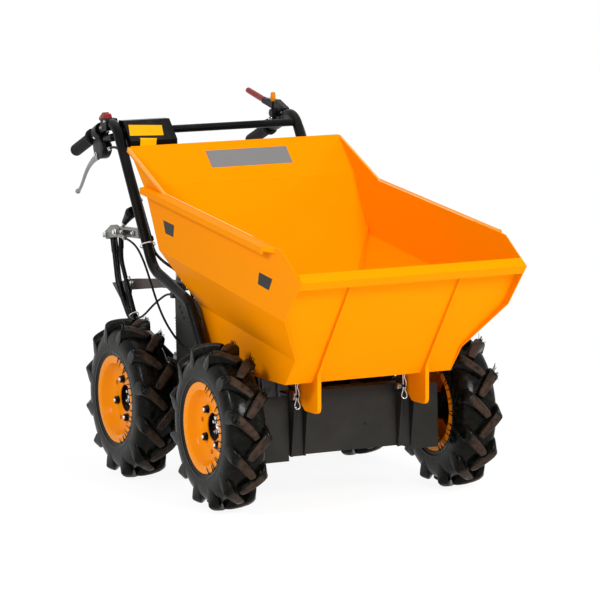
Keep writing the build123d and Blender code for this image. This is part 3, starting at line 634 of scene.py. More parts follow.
class Coat(Enum):
    """Every plain finish of the machine."""

    # polyester powder coat, sprayed and baked: a soft orange-peel gloss, a little paler where it is thin
    ORANGE = Finish("orange_powder_coat", "#FF9600", "#FF9F08", 0.34, specular=0.01, grain_mm=2.4,
                    grain_height_mm=0.035, patch_mm=180.0, patch_depth=0.15, edge_mm=1.4, edge_wear=0.5)
    # the same coat on the spun rims: smoother under it, so the bowl carries a curved light
    ORANGE_RIM = Finish("orange_powder_coat_rim", "#FF9600", "#FF9F08", 0.2, specular=0.09, grain_mm=2.0,
                        grain_height_mm=0.015, patch_mm=90.0, patch_depth=0.12)
    # the same coat over the rims' plug welds: thin and browned, so each weld reads as a darker ring
    PLUG_WELD = Finish("orange_powder_coat_over_weld", "#B86410", "#8A4A14", 0.3, specular=0.2, grain_mm=1.5,
                       grain_height_mm=0.03, patch_mm=6.0)
    # the same coat on beads laid along the folds: glossier, and paler in colour as a painted highlight, so each fold
    # carries a thin line of light
    ORANGE_EDGE = Finish("orange_powder_coat_fold", "#FFBE4C", "#FFCA6C", 0.2, specular=0.8, grain_mm=2.4,
                         grain_height_mm=0.02, patch_mm=180.0, patch_depth=0.1, edge_wear=0.0)
    # the same coat in anthracite, fine texture grade: it breaks the light up, so it reads as flat dark grey
    ANTHRACITE = Finish("anthracite_powder_coat", "#262624", "#3C3A36", 0.5, specular=0.14, grain_mm=1.4,
                        grain_height_mm=0.05, patch_mm=90.0, patch_depth=0.3, edge_mm=1.2, edge_wear=0.5,
                        dust_share=0.25)
    # satin black powder coat on tube: long soft lights along each tube
    TUBE_BLACK = Finish("satin_black_powder_coat", "#090909", "#1E1D1B", 0.27, specular=0.08, grain_mm=2.0,
                        grain_height_mm=0.03, patch_mm=70.0, patch_depth=0.1, edge_wear=0.5, dust_share=0.06)
    # air-dried black enamel on hubs and pressed covers
    BLACK_ENAMEL = Finish("black_enamel", "#09090A", "#201E1C", 0.26, specular=0.1, grain_mm=1.6, patch_mm=40.0,
                          patch_depth=0.15, edge_wear=0.5, dust_share=0.1)
    # zinc plate with clear passivate: cool, slightly mottled, soft reflections
    ZINC = Finish("zinc_plated_steel", "#C6C7C4", "#8F8F8A", 0.32, 0.14, metallic=1.0, grain_mm=0.9,
                  patch_mm=14.0, patch_depth=0.35, edge_mm=0.5, edge_wear=0.2)
    # bright chromium on clips, pins and studs: sharp white and black reflections
    CHROME = Finish("bright_chromium", "#E2E3E3", "#B9B9B7", 0.12, 0.06, metallic=1.0, grain_mm=3.0,
                    grain_height_mm=0.005, patch_mm=20.0, edge_mm=0.4, edge_wear=0.1)
    # die-cast aluminium, tumbled: pale grey with a fine matt skin
    CAST_ALLOY = Finish("die_cast_aluminium", "#8B8D8F", "#5F5F60", 0.3, 0.12, metallic=1.0, grain_mm=1.1,
                        grain_height_mm=0.04, patch_mm=25.0, patch_depth=0.25, edge_mm=1.0, edge_wear=0.3)
    # sand-cast grey iron, painted thin: a dull mid grey with a coarse skin
    GREY_CASTING = Finish("painted_grey_casting", "#85837F", "#8A8782", 0.42, 0.12, metallic=0.6, grain_mm=1.8,
                          grain_height_mm=0.08, patch_mm=18.0, patch_depth=0.45, edge_wear=0.6)
    # moulded nylon and ABS: even black with a soft sheen from the spark-eroded mould
    PLASTIC = Finish("moulded_black_nylon", "#0B0B0C", "#1A1A1A", 0.34, specular=0.09, grain_mm=0.8,
                     grain_height_mm=0.015, patch_mm=50.0, patch_depth=0.15, edge_mm=0.8, edge_wear=0.2)
    # nitrile rubber grips and pads: matt, with a grey bloom
    GRIP_RUBBER = Finish("nitrile_grip_rubber", "#0E0E0F", "#1E1D1C", 0.5, specular=0.12, grain_mm=0.9,
                         grain_height_mm=0.04, patch_mm=22.0, patch_depth=0.4, edge_wear=0.3)
    # PVC outer sheath of the control cables: smooth satin black
    SHEATH = Finish("pvc_cable_sheath", "#090909", "#141414", 0.28, specular=0.1, grain_mm=1.0, grain_height_mm=0.01,
                    patch_mm=30.0, edge_mm=0.4, edge_wear=0.1)
    # mild steel gone straw and brown from heat
    HOT_STEEL = Finish("heat_tinted_steel", "#6B5F54", "#3B3430", 0.45, 0.2, metallic=0.8, grain_mm=1.0,
                       patch_mm=35.0, patch_depth=0.7, edge_wear=0.3)
    # gloss vinyl films: flat colour with a faint calendering ripple
    YELLOW_FILM = Finish("yellow_vinyl_film", "#FFB400", "#F0A400", 0.3, specular=0.08, grain_mm=5.0,
                         grain_height_mm=0.01, patch_mm=40.0, edge_mm=0.2, edge_wear=0.0)
    BLACK_FILM = Finish("black_vinyl_film", "#14110E", "#201B16", 0.34, specular=0.12, grain_mm=5.0,
                        grain_height_mm=0.01, patch_mm=60.0, edge_mm=0.2, edge_wear=0.0)
    GREY_FILM = Finish("grey_vinyl_film", "#7F8080", "#8C8C8A", 0.38, specular=0.12, grain_mm=5.0, grain_height_mm=0.01,
                       patch_mm=50.0, edge_mm=0.2, edge_wear=0.0)
    # dyed PVC dip and moulded knobs: saturated, soft highlights
    RED_PLASTIC = Finish("red_pvc_sleeve", "#8C1614", "#A42A24", 0.34, specular=0.16, grain_mm=1.2, patch_mm=30.0)
    ORANGE_PLASTIC = Finish("orange_knob_plastic", "#F08A10", "#F6A030", 0.36, specular=0.16, grain_mm=1.2,
                            patch_mm=20.0)
    # mild steel strip under thin brown-grey primer
    PRIMED_STEEL = Finish("primed_strip_steel", "#33292A", "#4E4038", 0.46, specular=0.25, grain_mm=1.4,
                          grain_height_mm=0.04, patch_mm=26.0, patch_depth=0.5, edge_wear=0.4)
    # natural nylon cable ties: milky white with a little wax gloss
    NATURAL_NYLON = Finish("natural_nylon", "#E4E2DA", "#D2CFC4", 0.4, grain_mm=1.0, patch_mm=10.0, edge_mm=0.3)


# ---- camera and studio --------------------------------------------------------------------------------
@dataclass
class Studio:
    """The camera, the pale floor and the soft lights."""

    eye: Point = (-3956.14, -8462.40, 1640.41)          # mm, drawing frame
    right: Point = (0.90286, -0.42940, -0.02115)
    up: Point = (0.07234, 0.10324, 0.99203)
    ahead: Point = (0.42379, 0.89719, -0.12428)
    lens_mm: float = 216.65
    sensor_mm: float = 36.0
    floor_half: float = 14.0                            # m
    floor_z: float = -0.0005                            # m, just under the tyres
    glow: float = 1.06                                  # the white that the floor shows where it is seen
    glow_share: tuple[float, float] = (0.86, 0.95)      # its share near the machine and far off
    fade: tuple[float, float] = (1.3, 3.5)              # m: where the one turns into the other
    world_strength: float = 0.36

    def camera(self) -> None:
        """Makes the camera: its axes are the columns right, up and minus ahead."""
        data = bpy.data.cameras.new("camera")
        data.lens, data.sensor_width = self.lens_mm, self.sensor_mm
        data.clip_end = 100.0
        camera = bpy.data.objects.new("camera", data)
        turn = Matrix((self.right, self.up, tuple(-c for c in self.ahead))).transposed().to_4x4()
        camera.matrix_world = Matrix.Translation(Vector(metres(self.eye))) @ turn
        bpy.context.scene.collection.objects.link(camera)
        bpy.context.scene.camera = camera

    def seen(self, tree: bpy.types.NodeTree) -> bpy.types.NodeSocket:
        """1 for camera, glossy and transmitted rays, 0 for the rest.

        Args:
            tree: the tree that needs the value.

        Returns:
            The value.
        """
        light = node(tree, "LightPath").outputs
        both = combined(tree, light["Is Camera Ray"], light["Is Glossy Ray"], "MAXIMUM")
        return combined(tree, both, light["Is Transmission Ray"], "MAXIMUM")

    def world(self) -> None:
        """A white sky: full white where it is seen, dimmer as a light."""
        world = bpy.data.worlds.new("white_sky")
        world.use_nodes = True
        bpy.context.scene.world = world
        tree = world.node_tree
        back = tree.nodes["Background"]
        back.inputs["Color"].default_value = (1.0, 1.0, 1.0, 1.0)
        strength = ramp(tree, self.seen(tree), 0.0, 1.0, self.world_strength, 1.0, "LINEAR")
        tree.links.new(strength, back.inputs["Strength"])

    def floor(self) -> None:
        """A pale floor that keeps the shadow and looks white around it."""
        material, tree, shader = blank("pale_floor_paint")
        shader.inputs["Base Color"].default_value = linear("#FFFFFF")
        shader.inputs["Roughness"].default_value = 0.9
        glow = node(tree, "Emission", {"Color": (1.0, 1.0, 1.0, 1.0), "Strength": self.glow})
        place = node(tree, "TexCoord").outputs["Object"]
        away = node(tree, "VectorMath", {"0": place}, operation="LENGTH").outputs["Value"]
        share = combined(tree, self.seen(tree), ramp(tree, away, *self.fade, *self.glow_share, "LINEAR"))
        mix = node(tree, "MixShader", {"0": share, "1": shader.outputs[0], "2": glow.outputs[0]})
        tree.links.new(mix.outputs[0], tree.nodes["Material Output"].inputs["Surface"])
        h, z = self.floor_half, self.floor_z
        mesh = bpy.data.meshes.new("floor")
        mesh.from_pydata([(-h, -h, z), (h, -h, z), (h, h, z), (-h, h, z)], [], [(0, 1, 2, 3)])
        mesh.materials.append(material)
        floor = bpy.data.objects.new("floor", mesh)
        bpy.context.scene.collection.objects.link(floor)

    def lamp(self, name: str, place: Point, aim: Point, size: float, watts: float) -> None:
        """A square soft box in metres, turned towards its aim.

        Args:
            name: the light's name.
            place: where it stands.
            aim: what it is turned to.
            size: the length of its edges.
            watts: its power.
        """
        data = bpy.data.lights.new(name, "AREA")
        data.size, data.energy = size, watts
        lamp = bpy.data.objects.new(name, data)
        lamp.location = place
        lamp.rotation_euler = (Vector(aim) - Vector(place)).to_track_quat("-Z", "Y").to_euler()
        bpy.context.scene.collection.objects.link(lamp)

    def lights(self) -> None:
        """A key box above the front, a fill from the operator's right and a low one from the left."""
        self.lamp("key_box", (0.4, -4.0, 2.3), (0.0, -0.2, 0.5), 1.0, 108.0)
        self.lamp("right_box", (-3.3, -1.5, 2.6), (0.0, 0.0, 0.4), 0.8, 58.0)
        self.lamp("top_box", (0.0, 0.6, 3.6), (0.0, 0.0, 0.5), 2.0, 16.0)
        self.lamp("left_box", (3.4, -1.0, 1.4), (0.0, 0.0, 0.4), 0.9, 24.0)

    def build(self) -> None:
        """Makes the camera and then the rest of the studio."""
        self.camera()
        self.world()
        self.floor()
        self.lights()


# ---- control cables -----------------------------------------------------------------------------------
@dataclass
class ControlCable:
    """A free control cable: the route's points are the control points of one smooth open spline."""

    name: str
    diameter: float                                     # mm
    length: float                                       # m, along the tube
    route: list[Point]                                  # mm, drawing frame
    stiffness: str = "medium"

    def build(self, finish: bpy.types.Material) -> None:
        """Makes the cable's curve, which replaces the plain tube of the same name.

        Args:
            finish: the material of the sheath.
        """
        points = metres(self.route)
        curve = bpy.data.curves.new(f"{self.name}_sheath", "CURVE")
        curve.dimensions = "3D"
        curve.bevel_depth = self.diameter / 2000
        curve.bevel_resolution = 4
        curve.resolution_u = 14
        curve.use_fill_caps = True
        spline = curve.splines.new("NURBS")
        spline.points.add(len(points) - 1)
        spline.points.foreach_set("co", np.column_stack([points, np.ones(len(points))]).ravel())
        spline.order_u = 3
        spline.use_endpoint_u = True
        curve.materials.append(finish)
        piece = bpy.data.objects.new(curve.name, curve)
        bpy.context.scene.collection.objects.link(piece)
        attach(piece, Body.CHASSIS.value)
        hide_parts(self.name)
        LOG.info("%s: a cable of %.3f m", self.name, self.length)


CABLES = [
    ControlCable("cable_brake", 7.0, 0.113, [
        (-265, 525.8, 848.1), (-265, 503, 854), (-263, 471, 849), (-250.4, 448.2, 835), (-250, 431.9, 809.8),
    ]),
    ControlCable("cable_clutch", 7.0, 0.155, [
        (283, 537.8, 911), (283.6, 516, 909.8), (284.6, 490, 896), (284, 466, 871), (283, 447.4, 842.1),
        (283, 428.4, 811.8),
    ]),
    ControlCable("cable_gear", 6.0, 0.461, [
        (-285, 390, 617), (-286, 348, 613), (-287, 300, 597), (-288, 256, 563), (-287, 220, 515),
        (-285, 186, 465), (-280, 147, 418), (-270, 104, 379), (-259, 68, 354), (-257, 38.3, 353),
    ]),
    ControlCable("cable_link", 6.0, 0.263, [
        (-262, 391.6, 404), (-262, 366, 403), (-262, 325, 418), (-262, 266, 450), (-261, 205, 477),
        (-259, 172, 488.8), (-258, 146.3, 488.5),
    ]),
    ControlCable("cable_hose", 8.0, 0.417, [
        (-247, 305, 614.6), (-247, 290.3, 591.2), (-246, 262, 577), (-242, 225, 563), (-230, 180, 548),
        (-214, 140, 520), (-204, 134, 472), (-192, 160, 392), (-186, 192, 340), (-186, 192, 311),
    ]),
]


# ---- wheels -------------------------------------------------------------------------------------------
@dataclass
class Tyre:
    """A field tyre of size 4.00-8 about the X axis, in mm: a satin casing under two rows of chevron lugs."""

    lugs_per_side: int = 12
    around: int = 96                                    # stations round the casing
    bead: tuple[tuple[float, float], ...] = ((45.8, 101.6), (45.9, 115.9))
    square: float = 0.45                                # a lug section's exponent: under 1, so its corners are tight
    bead_hairs: int = 17                                # per side
    bead_radius: float = 119.5                          # where they root
    bead_outs: Point = (49.8, 51.6, 52.3)               # outwards at root, middle and tip
    lug_hairs: int = 20                                 # on the shoulder of each lug that faces forward and up
    tallest: float = 213.5                              # the hairs' reach, as a radius and outwards
    widest: float = 52.4
    lug_section: int = 20                               # points round a lug
    half_width: float = 52.95
    wall: tuple[tuple[float, float], ...] = (           # (distance outwards, radius), bead to crown
        (49.4, 116.6), (50.2, 121), (51.2, 126.5), (52.3, 127.5), (52.4, 130.5), (52.0, 132), (52.8, 141),
        (52.8, 153), (51.0, 166), (46.0, 177), (38.0, 185.0), (26.0, 189.0), (12.0, 190.6), (0.0, 191.0),
    )
    # lug stations: crest's distance outwards and radius, root's distance and radius, degrees round, half width
    crest: tuple[tuple[float, ...], ...] = (
        (-9.0, 208.0, -9.0, 184.0, -1.5, 9.0), (-5.0, 210.4, -5.0, 185.0, 0.5, 10.4),
        (8.0, 210.9, 8.0, 186.0, 4.5, 11.2), (24.0, 210.4, 23.0, 184.0, 9.2, 12.4),
        (38.0, 208.0, 34.0, 179.0, 13.0, 13.8), (46.5, 202.0, 40.0, 172.0, 15.2, 15.4),
        (51.0, 191.0, 43.0, 167.0, 16.4, 16.6), (52.8, 176.0, 45.0, 161.0, 17.1, 16.8),
        (52.9, 160.0, 47.0, 154.0, 17.6, 15.4), (52.9, 151.0, 49.0, 148.0, 17.9, 13.2),
    )

    def casing(self) -> Surface:
        """The casing: its section, smoothed, is turned once round; it closes on itself under the beads.

        Returns:
            The casing.
        """
        half = np.concatenate([self.bead, smooth_line(self.wall, 2)])
        loop = np.concatenate([half[:-1] * (-1, 1), half[::-1]])
        return turned(loop, self.around, closed=True)

    def lug(self, lead: float, side: int) -> Surface:
        """One lug: a rounded bar whose section runs from a buried root to the crest, out over the shoulder.

        The crest line goes outwards and round by its lag. At each station the section is a superellipse between
        root and crest, wider at the root by a quarter.

        Args:
            lead: where it starts round the tyre, in radians.
            side: the sign of its side.

        Returns:
            The lug, worn towards its top.
        """
        a, r, ra, rr, lag, half = smooth_line(self.crest, 2).T
        turn = lead - np.radians(lag)
        crest = np.stack([side * a, r * np.cos(turn), r * np.sin(turn)], -1)
        root = np.stack([side * ra, rr * np.cos(turn), rr * np.sin(turn)], -1)
        across = unit(np.cross(unit(crest - root), np.gradient(crest, axis=0)))
        c, s = superellipse(circle(self.lug_section), self.square)
        flare = 1 + 0.25 * (1 - s) / 2
        rings = (
            (crest + root)[:, None] / 2 + s[None, :, None] * (crest - root)[:, None] / 2
            + (half[:, None] * c * flare)[..., None] * across[:, None]
        )
        rings[..., 0] = np.clip(rings[..., 0], -self.half_width, self.half_width)
        radius = np.hypot(rings[..., 1], rings[..., 2])
        return grid(rings, caps=True, wear=np.clip((radius - 200) / 9, 0, 1))

    def starts(self, side: int) -> np.ndarray:
        """Where the lugs of one side start round the tyre: left and right ones are half a pitch apart."""
        return 2 * pi / self.lugs_per_side * (np.arange(self.lugs_per_side) + (0.5 if side > 0 else 0.0))

    def hair(self, side: int, turn: float, swing: float, radii: np.ndarray, outs: Sequence[float],
             thick: float) -> Surface:
        """One moulding hair: a tapering wire that leans a little round.

        Args:
            side: the sign of its side.
            turn: where it stands round the tyre.
            swing: how far its tip leans on, in radians.
            radii: the radii of its root, middle and tip.
            outs: their distances outwards.
            thick: its radius at the root.

        Returns:
            The hair.
        """
        angles = turn + np.array([0.0, swing * 0.5, swing])
        path = np.stack([side * np.asarray(outs), radii * np.cos(angles), radii * np.sin(angles)], -1)
        size = thick * np.array([1.0, 0.8, 0.45])
        return carried(path, size, size, up=(1, 0, 0), segments=5)

    def vents(self, seed: int) -> Surface:
        """The moulding hairs on the forward side: long ones from both beads, short ones off the lugs' shoulders.

        Args:
            seed: the seed of the random draws.

        Returns:
            All the hairs.
        """
        rng = np.random.default_rng(seed)
        stations = smooth_line(self.crest, 2)
        shoulder = np.flatnonzero((stations[:, 0] > 34) & (stations[:, 1] > 182))[[0, -1]]
        hairs = []
        for side in (-1, 1):
            for turn in pi + np.linspace(-1.25, 1.2, self.bead_hairs) + rng.uniform(-0.05, 0.05, self.bead_hairs):
                reach, swing = rng.uniform(15, 23), rng.uniform(-0.07, 0.07)
                radii = self.bead_radius - reach * np.array([0.0, 0.55, 1.0])
                hairs.append(self.hair(side, turn, swing, radii, self.bead_outs, 1.4))
            starts = self.starts(side)
            for lead in np.repeat(starts[(starts > 1.6) & (starts < 3.3)], self.lug_hairs):
                a, r, _, _, lag, half = stations[rng.integers(*shoulder)]
                turn = lead - radians(lag) + rng.uniform(-0.95, 0.95) * half / r
                reach, swing = rng.uniform(8, 17), rng.uniform(-0.06, 0.06)
                tip = min(r + reach, self.tallest)
                outs = np.minimum([a - 1.5, a - 0.5, a + 1.0], self.widest)
                hairs.append(self.hair(side, turn, swing, np.array([r - 2, (r + tip) / 2, tip]), outs, 0.9))
        return joined(hairs)

    def surface(self, seed: int) -> Surface:
        """The whole tyre."""
        lugs = [self.lug(lead, side) for side in (-1, 1) for lead in self.starts(side)]
        return joined([self.casing(), *lugs, self.vents(seed)])


def nut(across_flats: float, height: float, flange: float = 0.0) -> Surface:
    """A hexagon nut along X: a hexagon with both rims chamfered, on a washer face.

    Args:
        across_flats: the size of the hexagon.
        height: its height.
        flange: the washer face's radius, or 0 for none.

    Returns:
        The nut, from its seat outwards.
    """
    r = across_flats / 2 / cos(pi / 6)
    body = turned([(0, r * 0.94), (height * 0.12, r), (height * 0.85, r), (height, r * 0.88)], 6)
    if not flange:
        return body
    return joined([turned([(-0.2, flange), (1.6, flange), (2.0, flange - 0.6)], 28),
                   body.shifted((1.8, 0, 0))])


def heads(size: Sequence[float], places: Sequence[Point], axis: Sequence[float],
          twist: float = 0.0) -> list[Surface]:
    """Hexagon heads of one size, as for nut(): one at each place, each turned by twist more than the last."""
    return [aimed(nut(*size), place, axis, twist * k) for k, place in enumerate(places)]


def stud(radius: float, length: float, pitch: float = 1.75) -> Surface:
    """A threaded stud's end along X: a bar whose radius rises and falls once each pitch, with a chamfered tip.

    Args:
        radius: the thread's outer radius.
        length: how far it stands out.
        pitch: the thread's pitch.

    Returns:
        The stud.
    """
    n = int(length / pitch * 4)
    a = np.linspace(0, length, n)
    r = radius - 0.45 * (0.5 - 0.5 * np.cos(2 * pi * a / pitch))
    r[-2:] = radius - 1.0, radius - 1.8
    return turned(np.stack([a, r], -1), 18)


@dataclass
class Wheel(Assembly):
    """One wheel: the moulded tyre over its rim, four wheel nuts, the hub cap's bolts and the valve."""

    end: str
    side: Side
    nut_phase: float                                    # degrees
    seed: int
    centre_x: float = 323.0
    axle_y: float = 284.0
    axle_z: float = 205.0
    nut_circle: float = 51.0
    disc_face: float = 18.0
    cap_face: float = 5.0
    cap_circle: float = 18.5
    plug_circle: float = 66.0
    valve: tuple[float, float, float] = (26.0, 83.0, -8.0)

    @property
    def label(self) -> str:
        """The wheel as names have it."""
        return f"{self.end}_{self.side.word}"

    @property
    def body(self) -> str:
        """The wheel's body."""
        return f"wheel_{self.label}"

    def centre(self) -> np.ndarray:
        """The wheel's middle."""
        y = self.axle_y * (-1 if self.end == "front" else 1)
        return np.array([self.side.value * self.centre_x, y, self.axle_z])

    def outward(self, a: float, r: float, degrees: float) -> tuple[np.ndarray, np.ndarray]:
        """A spot on the outer side, and the outward direction.

        The angle is 0 towards the front and grows upwards.

        Args:
            a: the distance outwards.
            r: the radius.
            degrees: the angle.

        Returns:
            The spot and the direction.
        """
        t = radians(degrees)
        spot = self.centre() + (self.side.value * a, -r * cos(t), r * sin(t))
        return spot, np.array([self.side.value, 0.0, 0.0])

    def pieces(self) -> list[Piece]:
        """The tyre, the nuts on their studs, the hub cap's bolts and centre, the plug welds and the valve.

        Returns:
            The pieces.
        """
        tyre = Tyre().surface(self.seed).shifted(self.centre())
        nuts, studs, marks, small = [], [], [], []
        for k in range(4):
            spot, out = self.outward(self.disc_face, self.nut_circle, self.nut_phase + 90 * k)
            nuts.append(aimed(nut(17.5, 9.0, 11.0), spot, out, 0.3 * k))
            studs.append(aimed(stud(5.0, 14.0), spot, out))
            spot, out = self.outward(self.disc_face + 0.3, self.plug_circle, self.nut_phase + 45 + 90 * k)
            marks.append(aimed(turned([(-1.0, 6.6), (0.4, 6.4), (1.1, 5.4), (0.6, 3.8), (0.5, 1.2)]), spot, out))
            spot, out = self.outward(self.cap_face, self.cap_circle, self.nut_phase + 20 + 90 * k)
            small.append(aimed(nut(8.0, 4.4, 5.6), spot, out, 0.5 * k))
        spot, out = self.outward(self.cap_face - 3, 0.0, 0.0)
        small.append(aimed(turned([(0, 9), (4.5, 9), (5.4, 8), (5.4, 4.5), (4.0, 3.4)]), spot, out))
        spot, out = self.outward(*self.valve)
        lean = out * 0.8 + np.array([0.0, 0.6, 0.0])
        stem = aimed(turned([(-4, 6.5), (0, 6.5), (2, 5.6), (12, 4.4), (16, 4.0)], 18), spot, lean)
        cap = aimed(turned([(15, 4.6), (16, 5.0), (23, 5.0), (24, 4.0)], 12), spot, lean)
        return [
            Piece(f"tyre_{self.label}_moulded", tyre, "tyre", "tyre_rubber", 38.0, f"tyre_{self.label}"),
            Piece(f"wheel_nuts_{self.label}", joined(nuts), "BLACK_ENAMEL", "black_paint"),
            Piece(f"wheel_studs_{self.label}", joined(studs + small), "CHROME", "zinc_steel"),
            Piece(f"plug_welds_{self.label}", joined(marks), "PLUG_WELD", "orange_paint"),
            Piece(f"valve_{self.label}", joined([stem, cap]), "PLASTIC", "tyre_rubber"),
        ]


# ---- skip ---------------------------------------------------------------------------------------------
@dataclass
class SkipTrim(Assembly):
    """The skip's films and weld beads: two black end blocks a side, the blank plate and the painted welds."""

    body = Body.SKIP.value
    wall_x: float = 307.0
    film: float = 0.3
    blocks: tuple[tuple[tuple[float, float], ...], ...] = (
        ((80.0, 693.5), (9.6, 685.5), (16.5, 654.5), (67.0, 660.0)),
        ((-506.8, 614.8), (-583.0, 605.0), (-561.0, 575.5), (-498.2, 584.7)),
    )
    plate_x: tuple[float, float] = (-99.0, 137.0)
    plate_up: tuple[float, float] = (47.0, 106.0)       # from the back wall's bend, along its splayed top
    bend: tuple[float, float] = (198.0, 772.0)          # (y, z) of that bend, outside
    splay: tuple[float, float] = (0.7107, 0.7034)       # the splayed top's direction as (y, z)
    sheet: float = 3.0
    rib_x: tuple[float, float] = (144.2, 155.8)
    rib_top: tuple[float, float] = (-692.0, 588.0)      # both ends of the ribs' seams on the front wall
    rib_foot: tuple[float, float] = (-486.0, 335.5)

    def end_blocks(self) -> Surface:
        """The four blank black films on the side walls."""
        return pair(joined([slab(block, -self.wall_x, -self.wall_x - self.film, 0.1) for block in self.blocks]))

    def blank_plate(self) -> Surface:
        """The blank grey film on the back wall's splayed top.

        Returns:
            The film.
        """
        (x0, x1), (s0, s1) = self.plate_x, self.plate_up
        dy, dz = self.splay
        y0, z0 = self.bend[0] - dz * (self.sheet + 0.05), self.bend[1] + dy * (self.sheet + 0.05)
        corners = [(x, y0 + s * dy, z0 + s * dz) for x, s in ((x0, s0), (x1, s0), (x1, s1), (x0, s1))]
        return plate(corners, (0.0, -dz * self.film, dy * self.film))

    def welds(self) -> Surface:
        """The weld beads: stitches down both sides of each rib and a bead up each inner corner of the back wall.

        Returns:
            All the beads.
        """
        top, foot = np.array(self.rib_top), np.array(self.rib_foot)
        beads = []
        for x in self.rib_x:
            for s0, s1 in ((0.01, 0.2), (0.42, 0.6), (0.8, 0.99)):
                (y0, z0), (y1, z1) = top + (foot - top) * s0, top + (foot - top) * s1
                beads.append(pair(weld([(x, y0, z0), (x, y1, z1)], 2.0)))
        corner = [(-303.2, 190.5, 771.0), (-303.2, 118.5, 638.0), (-229.0, 43.0, 498.0), (-227.6, -36.5, 337.0)]
        for a, b in zip(corner, corner[1:]):
            a, b = np.array(a), np.array(b)
            beads.append(pair(weld([a + (b - a) * 0.03, a + (b - a) * 0.97], 1.8)))
        return joined(beads)

    def edges(self) -> Surface:
        """The rounded folds, in a paler orange that is a painted highlight: the rails' outer edges, the wings' hems and
        the lip's fold.

        Returns:
            All the folds.
        """
        # beads along the folds, finished in the paler orange that paints a highlight line on each
        rail = [(-328.4, y, 754.8 + 0.119 * y - 6.6) for y in np.linspace(-574, 174, 60)]
        inner = [(-305.4, y, 754.9 + 0.119 * y) for y in np.linspace(-470, 60, 60)]
        hem = [(-309.2, 56.0 + 236.0 * s, 758.6 + 104.0 * s) for s in np.linspace(0, 1, 30)]
        lip = [(x, -721.0, 626.4) for x in np.linspace(-301, 301, 80)]
        foot = [(-309.4, 60 - 10 * cos(t), 752 + 8 * sin(t)) for t in np.linspace(-0.9, 1.2, 10)]
        return joined([
            pair(carried(rail, 2.6, 2.6, segments=14)), pair(carried(inner, 1.6, 1.6, segments=12)),
            pair(carried(hem, 3.2, 4.2, segments=14)),
            pair(carried(foot, 2.6, 2.6, up=(1, 0, 0), segments=12)), carried(lip, 2.2, 2.2, segments=12),
        ])

    def rail_ends(self) -> Surface:
        """The tapered front end of each rail: a wedge from the rail's outer corner in to the wall."""
        corners = [(-328.2, -573.5, 686.2), (-306.0, -573.5, 686.2), (-306.0, -607.0, 682.2)]
        return pair(plate(corners, (0.0, 0.0, -12.5)))

    def pieces(self) -> list[Piece]:
        """The films, the welds, the rails' ends and the folds with their painted highlight.

        Returns:
            The five pieces.
        """
        return [
            Piece("skip_end_blocks", self.end_blocks(), "BLACK_FILM", "black_paint", None),
            Piece("skip_blank_plate", self.blank_plate(), "GREY_FILM", "zinc_steel", None),
            Piece("skip_welds", self.welds(), "ORANGE", "orange_paint", 50.0),
            Piece("rail_ends", self.rail_ends(), "ORANGE", "orange_paint", 30.0),
            # the folds' paler orange is a painted highlight
            Piece("skip_folds_painted_highlight", self.edges(), "ORANGE_EDGE", "orange_paint", 60.0),
        ]


@dataclass
class HingeClips(Assembly):
    """The spring clips of the hinge pins: each a bright wire that hangs through the pin, its loop at the bottom."""

    wire_radius: float = 1.5
    # across and up from the pin's middle: down the wavy leg, round the loop, up the straight leg
    shape: tuple[tuple[float, float], ...] = (
        (4.5, 34), (1.0, 27), (0.5, 22), (4.5, 13), (5.5, 5), (4.0, -3), (1.2, -8), (3.2, -14), (6.4, -21),
        (6.9, -27), (4.0, -31.5), (0.0, -32.5), (-4.2, -31), (-7.0, -26), (-6.2, -20), (-3.4, -12), (-2.2, -4),
        (-2.4, 6), (-2.6, 18), (-3.4, 31),
    )
    places: tuple[Point, ...] = ((-166.5, -411.0, 284.0), (133.0, -411.0, 286.0))
    across: Point = (0.86, -0.5, 0.0)

    def clip(self, place: Point) -> Surface:
        """One clip: its shape in the upright plane through the direction across.

        Args:
            place: the middle of the pin that it hangs through.

        Returns:
            The clip.
        """
        line = smooth_line(self.shape, 2)
        spots = np.asarray(place) + line[:, :1] * np.asarray(self.across) + line[:, 1:] * np.array([0.0, 0.0, 1.0])
        return wire(spots, self.wire_radius)

    def pieces(self) -> list[Piece]:
        """Both clips and the short pin ends that they hang through.

        Returns:
            The two pieces.
        """
        clips = [self.clip(place) for place in self.places]
        ends = [bar((x, -400.0, z), (x, -414.5, z), 4.2) for x, _, z in self.places]
        return [Piece("hinge_clips", joined(clips), "CHROME", "zinc_steel", 60.0),
                Piece("hinge_clip_eyes", joined(ends), "BLACK_ENAMEL", "black_paint")]


# ---- handles ------------------------------------------------------------------------------------------
@dataclass
class HandleLine:
    """The straight top run of a handle tube, seen from the side."""

    x: float = 265.0
    end: tuple[float, float] = (777.0, 826.0)
    top: tuple[float, float] = (490.0, 927.0)
    tube_radius: float = 14.0

    def at(self, side: Side, distance: float) -> np.ndarray:
        """The tube's middle at a distance from its end."""
        y, z = np.array(self.end) + unit(np.subtract(self.top, self.end)) * distance
        return np.array([side.value * self.x, y, z])

    def ring(self, side: Side, distance: float, length: float, radius: float) -> Surface:
        """A clamp ring on the tube."""
        return ring(self.at(side, distance - length / 2), self.at(side, distance + length / 2),
                    self.tube_radius + 0.05, radius)


